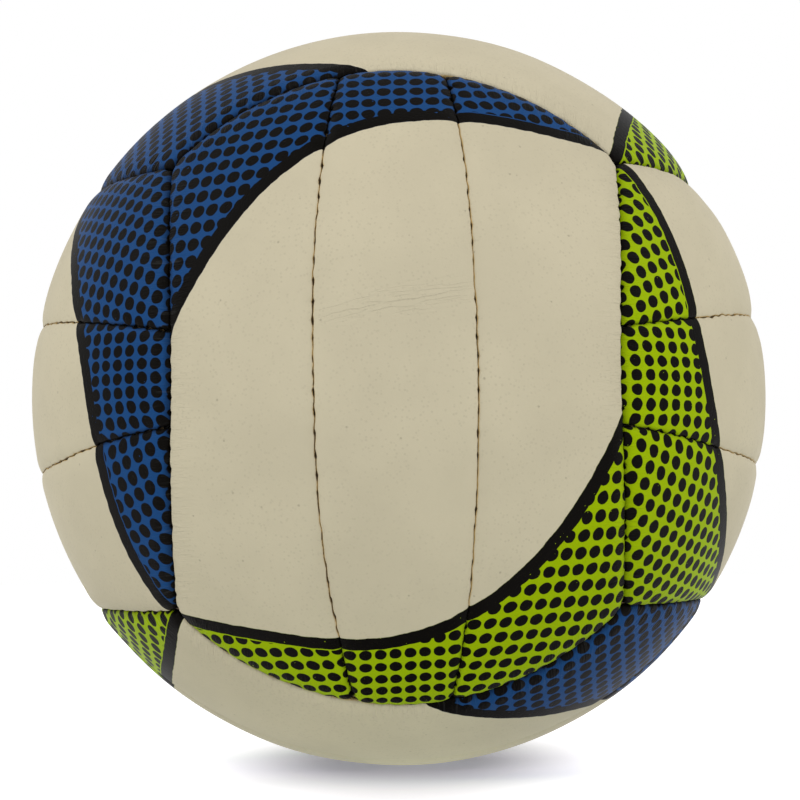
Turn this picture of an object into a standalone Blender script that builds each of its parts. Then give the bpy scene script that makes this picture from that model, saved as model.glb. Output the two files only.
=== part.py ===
"""A sewn volleyball: eighteen covers with cloth linings, sewn with thread round a rubber bladder.

The ball is cut like a cube blown up to a sphere. Each of its six faces holds three strips, and the
strips of neighbouring faces run square to each other. Every seam lies in a plane. A face is worked out
in its own axes: u runs across its strips, v along them and n out of the ball. Lengths are in metres.
"""
import math

import bmesh
import bpy
from mathutils import Matrix, Vector

# Ball and seams
BALL_RADIUS = 0.105
STRIP_WAIST_WIDTH = 0.0437
STRIP_END_WIDTH = 0.0281
THREAD_DIAMETER = 0.0008
CLEARANCE = 0.0003

# Covers: foamed leather that stands proud in the middle and turns in and under at its seams
COVER_THICKNESS = 0.0018
COVER_CROWN = 0.0008
CROWN_FULLNESS_ACROSS = 4
CROWN_FULLNESS_ALONG = 8
SHOULDER_RADIUS = 0.0015
TURNED_EDGE_SPARE = 0.0006
TURNED_EDGE_THICKNESS = 0.0016

# Cloth lining inside each cover
LINING_THICKNESS = 0.0007

# Bladder
BLADDER_WALL = 0.0008

# Inflation valve in the middle of the back face
NEEDLE_DIAMETER = 0.0018
NEEDLE_MOUTH_DEPTH = 0.0025
CORE_DIAMETER = 0.0046
CORE_RECESS = 0.0006
CORE_BULB_HEIGHT = 0.0020
CORE_BULB_OVERHANG = 0.0008
SLEEVE_WALL = 0.0018
SLEEVE_FLANGE_WIDTH = 0.0058
SLEEVE_FLANGE_THICKNESS = 0.0008
SLEEVE_BOSS_LENGTH = 0.0040
SLEEVE_RECESS = 0.0003
PATCH_WIDTH = 0.0092
PATCH_THICKNESS = 0.0007

# Facets
ROWS = 10
COLUMNS = 4
SHOULDER_STEPS = 2
TURN_STEPS = 20
BLADDER_ROWS = 10
THREAD_RESOLUTION = 0
SHARP_ANGLE = math.radians(40)
MERGE_DISTANCE = 1e-6

# The six faces: the axes u, v and n, and the names of the strips at -u, 0 and +u
FACES = {
    "front": ((1, 0, 0), (0, 0, 1), (0, -1, 0), ("left", "middle", "right")),
    "back": ((-1, 0, 0), (0, 0, 1), (0, 1, 0), ("right", "middle", "left")),
    "left": ((0, 0, -1), (0, -1, 0), (-1, 0, 0), ("upper", "middle", "lower")),
    "right": ((0, 0, 1), (0, -1, 0), (1, 0, 0), ("lower", "middle", "upper")),
    "top": ((0, -1, 0), (1, 0, 0), (0, 0, 1), ("back", "middle", "front")),
    "bottom": ((0, 1, 0), (1, 0, 0), (0, 0, -1), ("front", "middle", "back")),
}
VALVE_FACE = "back"

# Seam planes on a ball of unit radius, each written as u = offset + slope * n
CUBE_CORNER = 1 / math.sqrt(3)
EDGE_SEAM = (CUBE_CORNER, 0.0)
EDGE_CIRCLE = math.sqrt(1 - CUBE_CORNER**2)
EDGE_REACH = math.pi / 4


def strip_seam():
    """Returns the plane between the middle and the outer strip, through its waist and its end."""
    waist_u = STRIP_WAIST_WIDTH / 2 / BALL_RADIUS
    waist_n = math.sqrt(1 - waist_u**2)
    end_u = STRIP_END_WIDTH / 2 / BALL_RADIUS
    slope = (waist_u - end_u) / (waist_n - CUBE_CORNER)
    return waist_u - slope * waist_n, slope


def edge_bow():
    """Returns about how far the straight facets along a cube edge stray from its curved seam."""
    row_step = EDGE_CIRCLE * 2 * EDGE_REACH / ROWS
    middle_end = math.asin(STRIP_END_WIDTH / 2 / BALL_RADIUS / EDGE_CIRCLE)
    column_step = EDGE_CIRCLE * (EDGE_REACH - middle_end) / COLUMNS
    return BALL_RADIUS * CUBE_CORNER / EDGE_CIRCLE * max(row_step, column_step) ** 2 / 8


STRIP_SEAM = strip_seam()
HALF_STRIP_GAP = CLEARANCE / 2
HALF_EDGE_GAP = (CLEARANCE + edge_bow()) / 2

# Below its shoulder a cover's edge slants away from the seam, which leaves a channel for the thread.
TURNED_EDGE_LENGTH = THREAD_DIAMETER + CLEARANCE + TURNED_EDGE_SPARE
TURNED_EDGE_DEPTH = SHOULDER_RADIUS + TURNED_EDGE_LENGTH
THREAD_DEPTH = TURNED_EDGE_DEPTH - THREAD_DIAMETER / 2
THREAD_ROOM = THREAD_DIAMETER / 2 + CLEARANCE + edge_bow()


def edge_undercut():
    """Returns how far the slanted edge draws back at its foot to clear the thread squarely."""
    share = (THREAD_DEPTH - SHOULDER_RADIUS) / TURNED_EDGE_LENGTH
    square = share**2 - (THREAD_ROOM / TURNED_EDGE_LENGTH) ** 2
    lead = HALF_STRIP_GAP * share
    return (math.sqrt(lead**2 + square * (THREAD_ROOM**2 - HALF_STRIP_GAP**2)) - lead) / square


EDGE_UNDERCUT = edge_undercut()
TURNED_EDGE_REACH = EDGE_UNDERCUT + TURNED_EDGE_THICKNESS

# Radii, from the covers inwards. A facet's middle is nearer the centre by the factor FACET_FLOOR.
ROW_HALF_STEP = math.acos(CUBE_CORNER) / ROWS
COLUMN_HALF_STEP = EDGE_CIRCLE * EDGE_REACH / COLUMNS / 2
FACET_FLOOR = math.cos(math.hypot(ROW_HALF_STEP, COLUMN_HALF_STEP))
SEAM_RADIUS = BALL_RADIUS - COVER_CROWN
LINING_DEPTH = COVER_THICKNESS + CLEARANCE
LINING_INSET = TURNED_EDGE_REACH + CLEARANCE
DEEPEST = max(TURNED_EDGE_DEPTH, LINING_DEPTH + LINING_THICKNESS)
BLADDER_RADIUS = (SEAM_RADIUS - DEEPEST) * FACET_FLOOR - CLEARANCE

# Valve sizes that follow from the bore outwards. Holes are wide enough at the flats of their facets.
FLAT = math.cos(math.pi / TURN_STEPS)
BORE_RADIUS = (CORE_DIAMETER / 2 + CLEARANCE) / FLAT
SLEEVE_RADIUS = BORE_RADIUS + SLEEVE_WALL
SLEEVE_HOLE_RADIUS = (SLEEVE_RADIUS + CLEARANCE) / FLAT
FLANGE_RADIUS = SLEEVE_RADIUS + SLEEVE_FLANGE_WIDTH
BLADDER_MOUTH_RADIUS = (FLANGE_RADIUS + CLEARANCE) / FLAT
PATCH_RADIUS = SLEEVE_HOLE_RADIUS + PATCH_WIDTH
PATCH_WINDOW_RADIUS = (PATCH_RADIUS + CLEARANCE) / FLAT


def height_over(radius, reach):
    """Returns the height of a faceted ball's surface at a distance from the valve's axis."""
    return math.sqrt((radius * FACET_FLOOR) ** 2 - reach**2)


PATCH_TOP = height_over(BALL_RADIUS - COVER_THICKNESS, PATCH_RADIUS) - CLEARANCE
PATCH_BOTTOM = PATCH_TOP - PATCH_THICKNESS
BLADDER_MOUTH_HEIGHT = math.sqrt(BLADDER_RADIUS**2 - BLADDER_MOUTH_RADIUS**2)
FLANGE_TOP = min(BLADDER_MOUTH_HEIGHT, PATCH_BOTTOM - CLEARANCE)
FLANGE_BOTTOM = FLANGE_TOP - SLEEVE_FLANGE_THICKNESS
SLEEVE_TOP = height_over(BALL_RADIUS, SLEEVE_HOLE_RADIUS) - SLEEVE_RECESS
SLEEVE_BOTTOM = FLANGE_BOTTOM - SLEEVE_BOSS_LENGTH

# Colours are linear, then roughness
LEATHER = ("cover_leather", (0.60, 0.53, 0.38), 0.48)
CLOTH = ("lining_cloth", (0.62, 0.60, 0.55), 0.90)
SEWING = ("sewing_thread", (0.63, 0.52, 0.36), 0.70)
LATEX = ("bladder_rubber", (0.045, 0.042, 0.040), 0.60)
VALVE_RUBBER = ("valve_rubber", (0.030, 0.030, 0.032), 0.50)
CORE_RUBBER = ("valve_core_rubber", (0.080, 0.078, 0.075), 0.55)
PATCH_CLOTH = ("valve_patch_cloth", (0.30, 0.28, 0.25), 0.90)


def clear_scene():
    for old in list(bpy.data.objects):
        bpy.data.objects.remove(old, do_unlink=True)


def material(finish):
    name, colour, roughness = finish
    made = bpy.data.materials.new(name)
    made.use_nodes = True
    shader = made.node_tree.nodes["Principled BSDF"]
    shader.inputs["Base Color"].default_value = (*colour, 1.0)
    shader.inputs["Roughness"].default_value = roughness
    shader.inputs["Metallic"].default_value = 0.0
    return made


def place(name, data, turn, ball):
    """Adds an object for a mesh or curve, turned to its place on the ball."""
    piece = bpy.data.objects.new(name, data)
    bpy.context.scene.collection.objects.link(piece)
    piece.parent = ball
    piece.matrix_local = turn
    return piece


def face_turn(face):
    """Returns the turn from a face's own axes u, v and n to the ball's."""
    u, v, n, _ = FACES[face]
    return Matrix((u, v, n)).transposed().to_4x4()


def moved(plane, arc):
    """Returns a seam plane moved along u by an arc on the ball's surface."""
    offset, slope = plane
    stretch = math.hypot(1, slope)
    distance = offset / stretch
    return offset + arc / BALL_RADIUS * math.sqrt(1 - distance**2) * stretch, slope


def outer_sides(inset):
    """Returns the two long sides of the strip at +u, drawn in from its seams."""
    inner_side = moved(STRIP_SEAM, HALF_STRIP_GAP + inset)
    edge_side = moved(EDGE_SEAM, -HALF_EDGE_GAP - inset)
    return inner_side, edge_side


def middle_sides(inset):
    """Returns the two long sides of the middle strip, drawn in from its seams."""
    offset, slope = moved(STRIP_SEAM, -HALF_STRIP_GAP - inset)
    return (-offset, -slope), (offset, slope)


def along_plane(plane, v):
    """Returns the direction in a seam plane at the given height along the strip."""
    offset, slope = plane
    square = 1 + slope**2
    middle = -offset * slope / square
    n = middle + math.sqrt(middle**2 - (offset**2 + v**2 - 1) / square)
    return Vector((offset + slope * n, v, n))


def end_angle(plane, end_n):
    """Returns how far a plane runs along the strip before it meets the strip's end."""
    offset, slope = plane
    end_u = offset + slope * end_n
    return math.asin(math.sqrt(1 - end_n**2 - end_u**2))


def strip_direction(sides, inset, across, along):
    """Returns a direction on a strip, with across and along from -1 to 1."""
    share = (across + 1) / 2
    offset = sides[0][0] * (1 - share) + sides[1][0] * share
    slope = sides[0][1] * (1 - share) + sides[1][1] * share
    end_n, _ = moved(EDGE_SEAM, HALF_EDGE_GAP + inset)
    reach = end_angle((offset, slope), end_n)
    return along_plane((offset, slope), math.sin(along * reach))


def swell(across, along):
    """Returns the cover's crown, which falls to nothing at its four seams."""
    return COVER_CROWN * (1 - across**CROWN_FULLNESS_ACROSS) * (1 - along**CROWN_FULLNESS_ALONG)


def cover_profile():
    """Returns a cover's edge as insets and depths, from its face round to its inner side."""
    shoulder = []
    for step in range(SHOULDER_STEPS + 1):
        turn = math.pi / 2 * step / SHOULDER_STEPS
        shoulder.append((SHOULDER_RADIUS * (1 - math.sin(turn)), SHOULDER_RADIUS * (1 - math.cos(turn))))
    turned_foot = (EDGE_UNDERCUT, TURNED_EDGE_DEPTH)
    turned_end = (TURNED_EDGE_REACH, TURNED_EDGE_DEPTH)
    inner_side = (TURNED_EDGE_REACH, COVER_THICKNESS)
    return [*shoulder, turned_foot, turned_end, inner_side]


def lining_profile():
    """Returns a lining's edge, which lies inside its cover's turned-in edge."""
    return [(LINING_INSET, LINING_DEPTH), (LINING_INSET, LINING_DEPTH + LINING_THICKNESS)]


def strip_mesh(name, sides_at, profile, finish):
    """Returns a closed shell: a flat block with a ring for each profile point, wrapped on the ball."""
    block = bmesh.new()
    bmesh.ops.create_grid(block, x_segments=COLUMNS, y_segments=ROWS, size=1)
    rings = len(profile) - 1
    inner_face = list(block.faces)
    raised = bmesh.ops.extrude_face_region(block, geom=inner_face, use_keep_orig=True)
    lifted = [part for part in raised["geom"] if isinstance(part, bmesh.types.BMVert)]
    bmesh.ops.translate(block, verts=lifted, vec=(0, 0, rings))
    uprights = [edge for edge in block.edges if abs(edge.verts[0].co.z - edge.verts[1].co.z) > rings / 2]
    if rings > 1:
        bmesh.ops.subdivide_edges(block, edges=uprights, cuts=rings - 1)
    for vert in block.verts:
        across, along, level = vert.co
        inset, depth = profile[rings - round(level)]
        radius = SEAM_RADIUS + swell(across, along) - depth
        vert.co = strip_direction(sides_at(inset), inset, across, along) * radius
    bmesh.ops.recalc_face_normals(block, faces=block.faces)
    mesh = bpy.data.meshes.new(name)
    block.to_mesh(mesh)
    block.free()
    mesh.materials.append(finish)
    mesh.shade_smooth()
    mesh.set_sharp_from_angle(angle=SHARP_ANGLE)
    return mesh


def thread_curve(name, points, finish):
    """Returns a round thread through the points, with closed ends."""
    curve = bpy.data.curves.new(name, "CURVE")
    curve.dimensions = "3D"
    curve.bevel_depth = THREAD_DIAMETER / 2
    curve.bevel_resolution = THREAD_RESOLUTION
    curve.use_fill_caps = True
    curve.materials.append(finish)
    run = curve.splines.new("POLY")
    run.points.add(len(points) - 1)
    for spot, point in zip(run.points, points):
        spot.co = (*point, 1.0)
    return curve


def strip_thread_points():
    """Returns the thread's path along the seam at +u, stopping short of the threads at its ends."""
    radius = SEAM_RADIUS - THREAD_DEPTH
    stop = THREAD_DIAMETER + CLEARANCE + edge_bow()
    end_n, _ = moved(EDGE_SEAM, stop)
    reach = end_angle(STRIP_SEAM, end_n)
    angles = [reach * (2 * step / ROWS - 1) for step in range(ROWS + 1)]
    return [along_plane(STRIP_SEAM, math.sin(angle)) * radius for angle in angles]


def edge_thread_points():
    """Returns a path along three cube edges in turn: one along x, one along y and one along z."""
    radius = SEAM_RADIUS - THREAD_DEPTH
    stop = (THREAD_DIAMETER + CLEARANCE) / radius / EDGE_CIRCLE
    edges = ((0, 1, 2, -1, -1), (1, 2, 0, -1, 1), (2, 0, 1, 1, 1))
    points = []
    for turn, (run_axis, plane_axis, free_axis, plane_side, free_side) in enumerate(edges):
        start = -EDGE_REACH + (stop if turn == 0 else 0)
        finish = EDGE_REACH - (stop if turn == len(edges) - 1 else 0)
        for step in range(ROWS + 1):
            angle = start + (finish - start) * step / ROWS
            point = Vector()
            point[run_axis] = EDGE_CIRCLE * math.sin(angle)
            point[plane_axis] = CUBE_CORNER * plane_side
            point[free_axis] = EDGE_CIRCLE * math.cos(angle) * free_side
            if step or not points:
                points.append(point * radius)
    return points


def turned(name, profile, closed, finish, ball):
    """Adds a piece turned about the valve's axis from a profile of radii and heights."""
    mesh = bpy.data.meshes.new(name)
    outline = bmesh.new()
    verts = [outline.verts.new((radius, 0, height)) for radius, height in profile]
    for first, second in zip(verts, verts[1:]):
        outline.edges.new((first, second))
    if closed:
        outline.edges.new((verts[-1], verts[0]))
    outline.to_mesh(mesh)
    outline.free()
    mesh.materials.append(finish)
    piece = place(name, mesh, face_turn(VALVE_FACE), ball)
    lathe = piece.modifiers.new("turn", "SCREW")
    lathe.axis = "Z"
    lathe.angle = 2 * math.pi
    lathe.steps = TURN_STEPS
    lathe.render_steps = TURN_STEPS
    lathe.use_merge_vertices = True
    lathe.merge_threshold = MERGE_DISTANCE
    return piece


def bladder_profile():
    """Returns the bladder's wall from its inner pole, over the rim of its mouth, to its outer pole."""
    mouth = math.asin(BLADDER_MOUTH_RADIUS / BLADDER_RADIUS)
    angles = [math.pi - (math.pi - mouth) * row / BLADDER_ROWS for row in range(BLADDER_ROWS + 1)]
    inner_radius = BLADDER_RADIUS - BLADDER_WALL
    inner = [(inner_radius * math.sin(angle), inner_radius * math.cos(angle)) for angle in angles]
    outer = [(BLADDER_RADIUS * math.sin(angle), BLADDER_RADIUS * math.cos(angle)) for angle in angles]
    inner[0] = (0.0, -inner_radius)
    outer[0] = (0.0, -BLADDER_RADIUS)
    inner[-1] = (BLADDER_MOUTH_RADIUS, inner[-1][1])
    return [*inner, *reversed(outer)]


def sleeve_profile():
    """Returns the valve sleeve: a stem through the cover, a flange in the bladder's mouth and a boss."""
    return [
        (SLEEVE_RADIUS, SLEEVE_TOP),
        (SLEEVE_RADIUS, FLANGE_TOP),
        (FLANGE_RADIUS, FLANGE_TOP),
        (FLANGE_RADIUS, FLANGE_BOTTOM),
        (SLEEVE_RADIUS, FLANGE_BOTTOM),
        (SLEEVE_RADIUS, SLEEVE_BOTTOM),
        (BORE_RADIUS, SLEEVE_BOTTOM),
        (BORE_RADIUS, SLEEVE_TOP),
    ]


def core_profile():
    """Returns the valve core: a plug with a mouth for the needle and a bulb that holds it in."""
    plug_radius = CORE_DIAMETER / 2
    plug_top = SLEEVE_TOP - CORE_RECESS
    bulb_radius = BORE_RADIUS + CORE_BULB_OVERHANG
    bulb_top = SLEEVE_BOTTOM - CLEARANCE
    bulb_bottom = bulb_top - CORE_BULB_HEIGHT
    return [
        (0.0, plug_top - NEEDLE_MOUTH_DEPTH),
        (NEEDLE_DIAMETER / 2, plug_top),
        (plug_radius, plug_top),
        (plug_radius, bulb_top),
        (bulb_radius, bulb_top),
        (plug_radius, bulb_bottom),
        (0.0, bulb_bottom),
    ]


def patch_profile():
    """Returns the cloth patch, a flat ring round the valve."""
    return [
        (PATCH_RADIUS, PATCH_TOP),
        (PATCH_RADIUS, PATCH_BOTTOM),
        (SLEEVE_HOLE_RADIUS, PATCH_BOTTOM),
        (SLEEVE_HOLE_RADIUS, PATCH_TOP),
    ]


def cut_round_hole(piece, radius, ball):
    """Cuts a round hole through a piece on the valve's axis."""
    cutter_mesh = bpy.data.meshes.new(piece.name + "_hole")
    drill = bmesh.new()
    bmesh.ops.create_cone(
        drill, cap_ends=True, segments=TURN_STEPS, radius1=radius, radius2=radius, depth=BALL_RADIUS
    )
    bmesh.ops.translate(drill, verts=drill.verts, vec=(0, 0, BALL_RADIUS))
    drill.to_mesh(cutter_mesh)
    drill.free()
    cutter = place(cutter_mesh.name, cutter_mesh, face_turn(VALVE_FACE), ball)
    cutter.hide_render = True
    cutter.display_type = "WIRE"
    cut = piece.modifiers.new("hole", "BOOLEAN")
    cut.operation = "DIFFERENCE"
    cut.object = cutter


def build_strips(sewing, ball):
    """Adds the covers and linings of all six faces, and the threads between their strips."""
    leather = material(LEATHER)
    cloth = material(CLOTH)
    outer_cover = strip_mesh("outer_cover", outer_sides, cover_profile(), leather)
    middle_cover = strip_mesh("middle_cover", middle_sides, cover_profile(), leather)
    outer_lining = strip_mesh("outer_lining", outer_sides, lining_profile(), cloth)
    middle_lining = strip_mesh("middle_lining", middle_sides, lining_profile(), cloth)
    strip_thread = thread_curve("strip_thread", strip_thread_points(), sewing)
    half_turn = Matrix.Rotation(math.pi, 4, "Z")
    for face, (_, _, _, (minus_strip, middle_strip, plus_strip)) in FACES.items():
        turn = face_turn(face)
        cover = place(f"{face}_{middle_strip}_panel", middle_cover, turn, ball)
        lining = place(f"{face}_{middle_strip}_lining", middle_lining, turn, ball)
        if face == VALVE_FACE:
            cut_round_hole(cover, SLEEVE_HOLE_RADIUS, ball)
            cut_round_hole(lining, PATCH_WINDOW_RADIUS, ball)
        for strip, strip_turn in ((plus_strip, turn), (minus_strip, turn @ half_turn)):
            place(f"{face}_{strip}_panel", outer_cover, strip_turn, ball)
            place(f"{face}_{strip}_lining", outer_lining, strip_turn, ball)
            place(f"{face}_{strip}_seam_thread", strip_thread, strip_turn, ball)


def build_edge_threads(sewing, ball):
    """Adds the four threads that sew the faces together, each along three of the twelve cube edges."""
    edge_thread = thread_curve("edge_thread", edge_thread_points(), sewing)
    turns = {"first": Matrix.Identity(4)}
    for name, axis in (("second", "X"), ("third", "Y"), ("fourth", "Z")):
        turns[name] = Matrix.Rotation(math.pi, 4, axis)
    for name, turn in turns.items():
        place(f"{name}_edge_seam_thread", edge_thread, turn, ball)


def build_bladder_and_valve(ball):
    """Adds the bladder, and the valve that is set in its mouth and reaches out through the cover."""
    bladder = turned("bladder", bladder_profile(), False, material(LATEX), ball)
    bladder.data.shade_smooth()
    turned("valve_sleeve", sleeve_profile(), True, material(VALVE_RUBBER), ball)
    turned("valve_core", core_profile(), False, material(CORE_RUBBER), ball)
    turned("valve_patch", patch_profile(), True, material(PATCH_CLOTH), ball)


def main():
    clear_scene()
    ball = bpy.data.objects.new("ball", None)
    bpy.context.scene.collection.objects.link(ball)
    sewing = material(SEWING)
    build_strips(sewing, ball)
    build_edge_threads(sewing, ball)
    build_bladder_and_valve(ball)


main()
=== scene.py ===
"""Dresses a sewn volleyball: printed covers, cloth linings, stitching, bladder and valve on a pale floor.

The ball is cut like a cube blown up to a sphere. Each of its six faces holds three strips, and every seam
lies in a plane. A face is worked out in its own axes: u runs across its strips, v along them and n out of
the ball. Lengths are in metres, and what the materials read from the meshes is in millimetres.
"""

import math
from collections import namedtuple

import bmesh
import bpy
import numpy as np
from mathutils import Matrix, Vector
from mathutils.geometry import interpolate_bezier


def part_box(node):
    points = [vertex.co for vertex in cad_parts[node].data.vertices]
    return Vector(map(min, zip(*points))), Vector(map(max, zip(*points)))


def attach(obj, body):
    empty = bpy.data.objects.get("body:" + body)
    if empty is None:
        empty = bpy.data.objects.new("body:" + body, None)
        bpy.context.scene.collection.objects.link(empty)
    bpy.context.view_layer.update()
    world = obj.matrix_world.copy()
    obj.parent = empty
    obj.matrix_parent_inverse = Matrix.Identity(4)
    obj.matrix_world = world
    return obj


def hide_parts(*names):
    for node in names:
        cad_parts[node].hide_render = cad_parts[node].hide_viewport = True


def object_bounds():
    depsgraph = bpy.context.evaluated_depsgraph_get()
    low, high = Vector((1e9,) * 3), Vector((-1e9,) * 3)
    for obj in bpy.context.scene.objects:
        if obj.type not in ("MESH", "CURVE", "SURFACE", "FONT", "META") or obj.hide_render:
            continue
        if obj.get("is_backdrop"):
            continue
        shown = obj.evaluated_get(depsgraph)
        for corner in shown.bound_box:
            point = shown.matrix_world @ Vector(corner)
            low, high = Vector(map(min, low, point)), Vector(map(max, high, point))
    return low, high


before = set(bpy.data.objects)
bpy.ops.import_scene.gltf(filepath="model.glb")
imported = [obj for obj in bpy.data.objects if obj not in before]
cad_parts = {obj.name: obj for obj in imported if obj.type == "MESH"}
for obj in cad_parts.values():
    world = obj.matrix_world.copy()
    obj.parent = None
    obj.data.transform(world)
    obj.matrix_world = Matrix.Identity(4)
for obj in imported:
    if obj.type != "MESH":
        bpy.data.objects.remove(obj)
CAD_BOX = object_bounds()

bl_info = {
    "name": "Sewn Volleyball",
    "version": (1, 0, 0),
    "blender": (4, 5, 0),
    "location": "3D View > Sidebar > Volleyball",
    "description": "Adds the covers, linings, stitching, bladder and valve of a sewn volleyball",
    "category": "Add Mesh",
}

# The six faces: the axes u, v and n, and the names of the strips at -u, 0 and +u
FACES = {
    "front": ((1, 0, 0), (0, 0, 1), (0, -1, 0), ("left", "middle", "right")),
    "back": ((-1, 0, 0), (0, 0, 1), (0, 1, 0), ("right", "middle", "left")),
    "left": ((0, 0, -1), (0, -1, 0), (-1, 0, 0), ("upper", "middle", "lower")),
    "right": ((0, 0, 1), (0, -1, 0), (1, 0, 0), ("lower", "middle", "upper")),
    "top": ((0, -1, 0), (1, 0, 0), (0, 0, 1), ("back", "middle", "front")),
    "bottom": ((0, 1, 0), (1, 0, 0), (0, 0, -1), ("front", "middle", "back")),
}
VALVE_FACE = "back"
# Faces whose +v end is printed green and -v end blue. The others have blue at +v and green at -v.
GREEN_FIRST_FACES = ("right", "top")

# Seam planes on a ball of unit radius, each written as u = offset + slope * n
CUBE_CORNER = 1 / math.sqrt(3)
EDGE_SEAM = (CUBE_CORNER, 0.0)
EDGE_CIRCLE = math.sqrt(1 - CUBE_CORNER**2)
OUTER_STRIP_TURN = math.radians(24)

BALL_RADIUS = -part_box("bottom_middle_panel")[0].z

# Places on the valve's axis, which is the ball's y axis, and radii about it
BLADDER_RADIUS = -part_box("bladder")[0].z
BLADDER_MOUTH_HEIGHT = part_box("bladder")[1].y
BLADDER_MOUTH_RADIUS = math.sqrt(BLADDER_RADIUS**2 - BLADDER_MOUTH_HEIGHT**2)
PATCH_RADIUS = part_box("valve_patch")[1].z
SLEEVE_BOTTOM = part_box("valve_sleeve")[0].y
SLEEVE_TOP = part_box("valve_sleeve")[1].y
FLANGE_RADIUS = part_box("valve_sleeve")[1].z
FLANGE_TOP = min(BLADDER_MOUTH_HEIGHT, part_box("valve_patch")[0].y)
CORE_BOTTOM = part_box("valve_core")[0].y
CORE_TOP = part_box("valve_core")[1].y
CORE_BULB_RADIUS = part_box("valve_core")[1].z
FLANGE_THICKNESS = 0.0008
NEEDLE_MOUTH_DEPTH = 0.0025
NEEDLE_MOUTH_TAPER = 3
SLEEVE_LIP = 0.0005
RUBBER_ROUNDING = 0.0003
CORE_ROUNDING = 0.0002

MILLIMETRE = 0.001
IN_MILLIMETRES = 1000

# Facets. A strip has a number of them across it and along it.
COVER_FACETS = (56, 260)
LINING_FACETS = (28, 80)
SHOULDER_STEPS = 5
EDGE_CROWDING = 0.3
STITCH_STEPS = 10
THREAD_RESOLUTION = 2
TURN_STEPS = 64
BLADDER_ROWS = 48
PATCH_ROWS = 6
ROUNDING_STEPS = 3
SHARP_ANGLE = math.radians(30)
MERGE_DISTANCE = 1e-7


def srgb(red, green, blue):
    """Returns a colour given in 0 to 255 as the linear values that materials hold."""
    shares = [channel / 255 for channel in (red, green, blue)]
    return tuple(s / 12.92 if s <= 0.04045 else ((s + 0.055) / 1.055) ** 2.4 for s in shares)


def length(name, description, default):
    return bpy.props.FloatProperty(
        name=name, description=description, default=default, unit="LENGTH", precision=5
    )


def colour(name, description, default):
    return bpy.props.FloatVectorProperty(
        name=name, description=description, default=default, subtype="COLOR", min=0, max=1
    )


class VolleyballSizes(bpy.types.PropertyGroup):
    """Sizes of the ball and its sewing."""

    radius: length("Ball radius", "From the centre to the crown of a cover", BALL_RADIUS)
    waist_width: length("Strip waist", "Width of a middle strip halfway along it", 0.0437)
    end_width: length("Strip end", "Width of a middle strip at its ends", 0.0281)
    sleeve_radius: length("Valve sleeve", "Outer radius of the valve's rubber sleeve", 0.00443)
    core_radius: length("Valve core", "Radius of the plug in the sleeve", 0.0023)
    needle_diameter: length("Needle mouth", "Mouth for the pump's needle", 0.0018)
    bladder_wall: length("Bladder wall", "Rubber of the bladder", 0.0008)
    cover_thickness: length("Cover thickness", "Foamed leather of the covers", 0.0018)
    lining_thickness: length("Lining thickness", "Cloth behind the covers", 0.0007)
    thread_diameter: length("Thread", "Diameter of the sewing thread", 0.0008)
    stitch_pitch: length("Stitch pitch", "From one needle hole to the next", 0.0050)
    strip_shoulder: length("Strip shoulder", "Rounding of the covers between strips", 0.00050)
    edge_shoulder: length("Edge shoulder", "Rounding of the covers between faces", 0.0008)
    strip_drop: length("Strip dip", "How far the covers dip towards a seam between strips", 0.0008)
    strip_dip_width: length("Strip dip width", "How wide that dip is on each side", 0.0042)
    edge_drop: length("Edge dip", "How far the covers dip towards a seam between faces", 0.0011)
    edge_dip_width: length("Edge dip width", "How wide that dip is on each side", 0.0055)


class VolleyballPrint(bpy.types.PropertyGroup):
    """Sizes of the printed bands and dots."""

    band_width: length("Band", "Width of the black band along the print's border", 0.0040)
    green_dot_diameter: length("Dots on green", "Diameter of the dots printed on green", 0.00355)
    blue_dot_diameter: length("Dots on blue", "Diameter of the dots printed on blue", 0.00372)
    column_pitch: length("Dot columns", "From one column of dots to the next", 0.00425)
    row_pitch: length("Dot rows", "From one row of dots to the next", 0.0048)
    row_tilt: bpy.props.FloatProperty(
        name="Row tilt",
        description="Slant of the rows of dots across a strip",
        default=math.radians(3),
        subtype="ANGLE",
    )


class VolleyballColours(bpy.types.PropertyGroup):
    """Colours of the finishes."""

    leather: colour("Leather", "Bare cover", srgb(204, 194, 167))
    blue: colour("Blue print", "Blue ends of the strips", srgb(26, 68, 119))
    green: colour("Green print", "Green ends of the strips", srgb(152, 178, 0))
    ink: colour("Black print", "Band and dots", srgb(8, 6, 4))
    crease: colour("Seam crease", "Cut edges of the covers inside the seams", srgb(208, 178, 118))
    # A pale grey painted highlight on the crests of the puckers in the blue print
    pucker_highlight: colour("Scuffs", "Rubbed crests of the puckers in the print", srgb(150, 152, 150))
    thread: colour("Thread", "Waxed sewing thread", srgb(122, 101, 72))
    lining: colour("Lining", "Cloth behind the covers", srgb(206, 202, 194))
    bladder: colour("Bladder", "Rubber of the bladder", srgb(60, 58, 57))
    valve: colour("Valve", "Rubber of the valve sleeve", srgb(48, 48, 50))
    core: colour("Valve core", "Softer rubber of the valve core", srgb(80, 79, 78))
    patch: colour("Valve patch", "Cloth patch round the valve", srgb(148, 144, 137))


class VolleyballStage(bpy.types.PropertyGroup):
    """Floor, light and camera."""

    floor: colour("Floor", "Pale studio floor", (0.79, 0.81, 0.81))
    sky_strength: bpy.props.FloatProperty(
        name="Room light", description="Even light from the white room", default=0.62
    )
    side_power: bpy.props.FloatProperty(
        name="Side lights", description="Soft light to the left and to the right", default=8.0, unit="POWER"
    )
    front_power: bpy.props.FloatProperty(
        name="Front light", description="Soft light above the camera", default=5.0, unit="POWER"
    )
    lens: bpy.props.FloatProperty(
        name="Lens", description="Focal length", default=137.7, unit="CAMERA"
    )


# Seams

Strip = namedtuple("Strip", "name face role turn")


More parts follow.
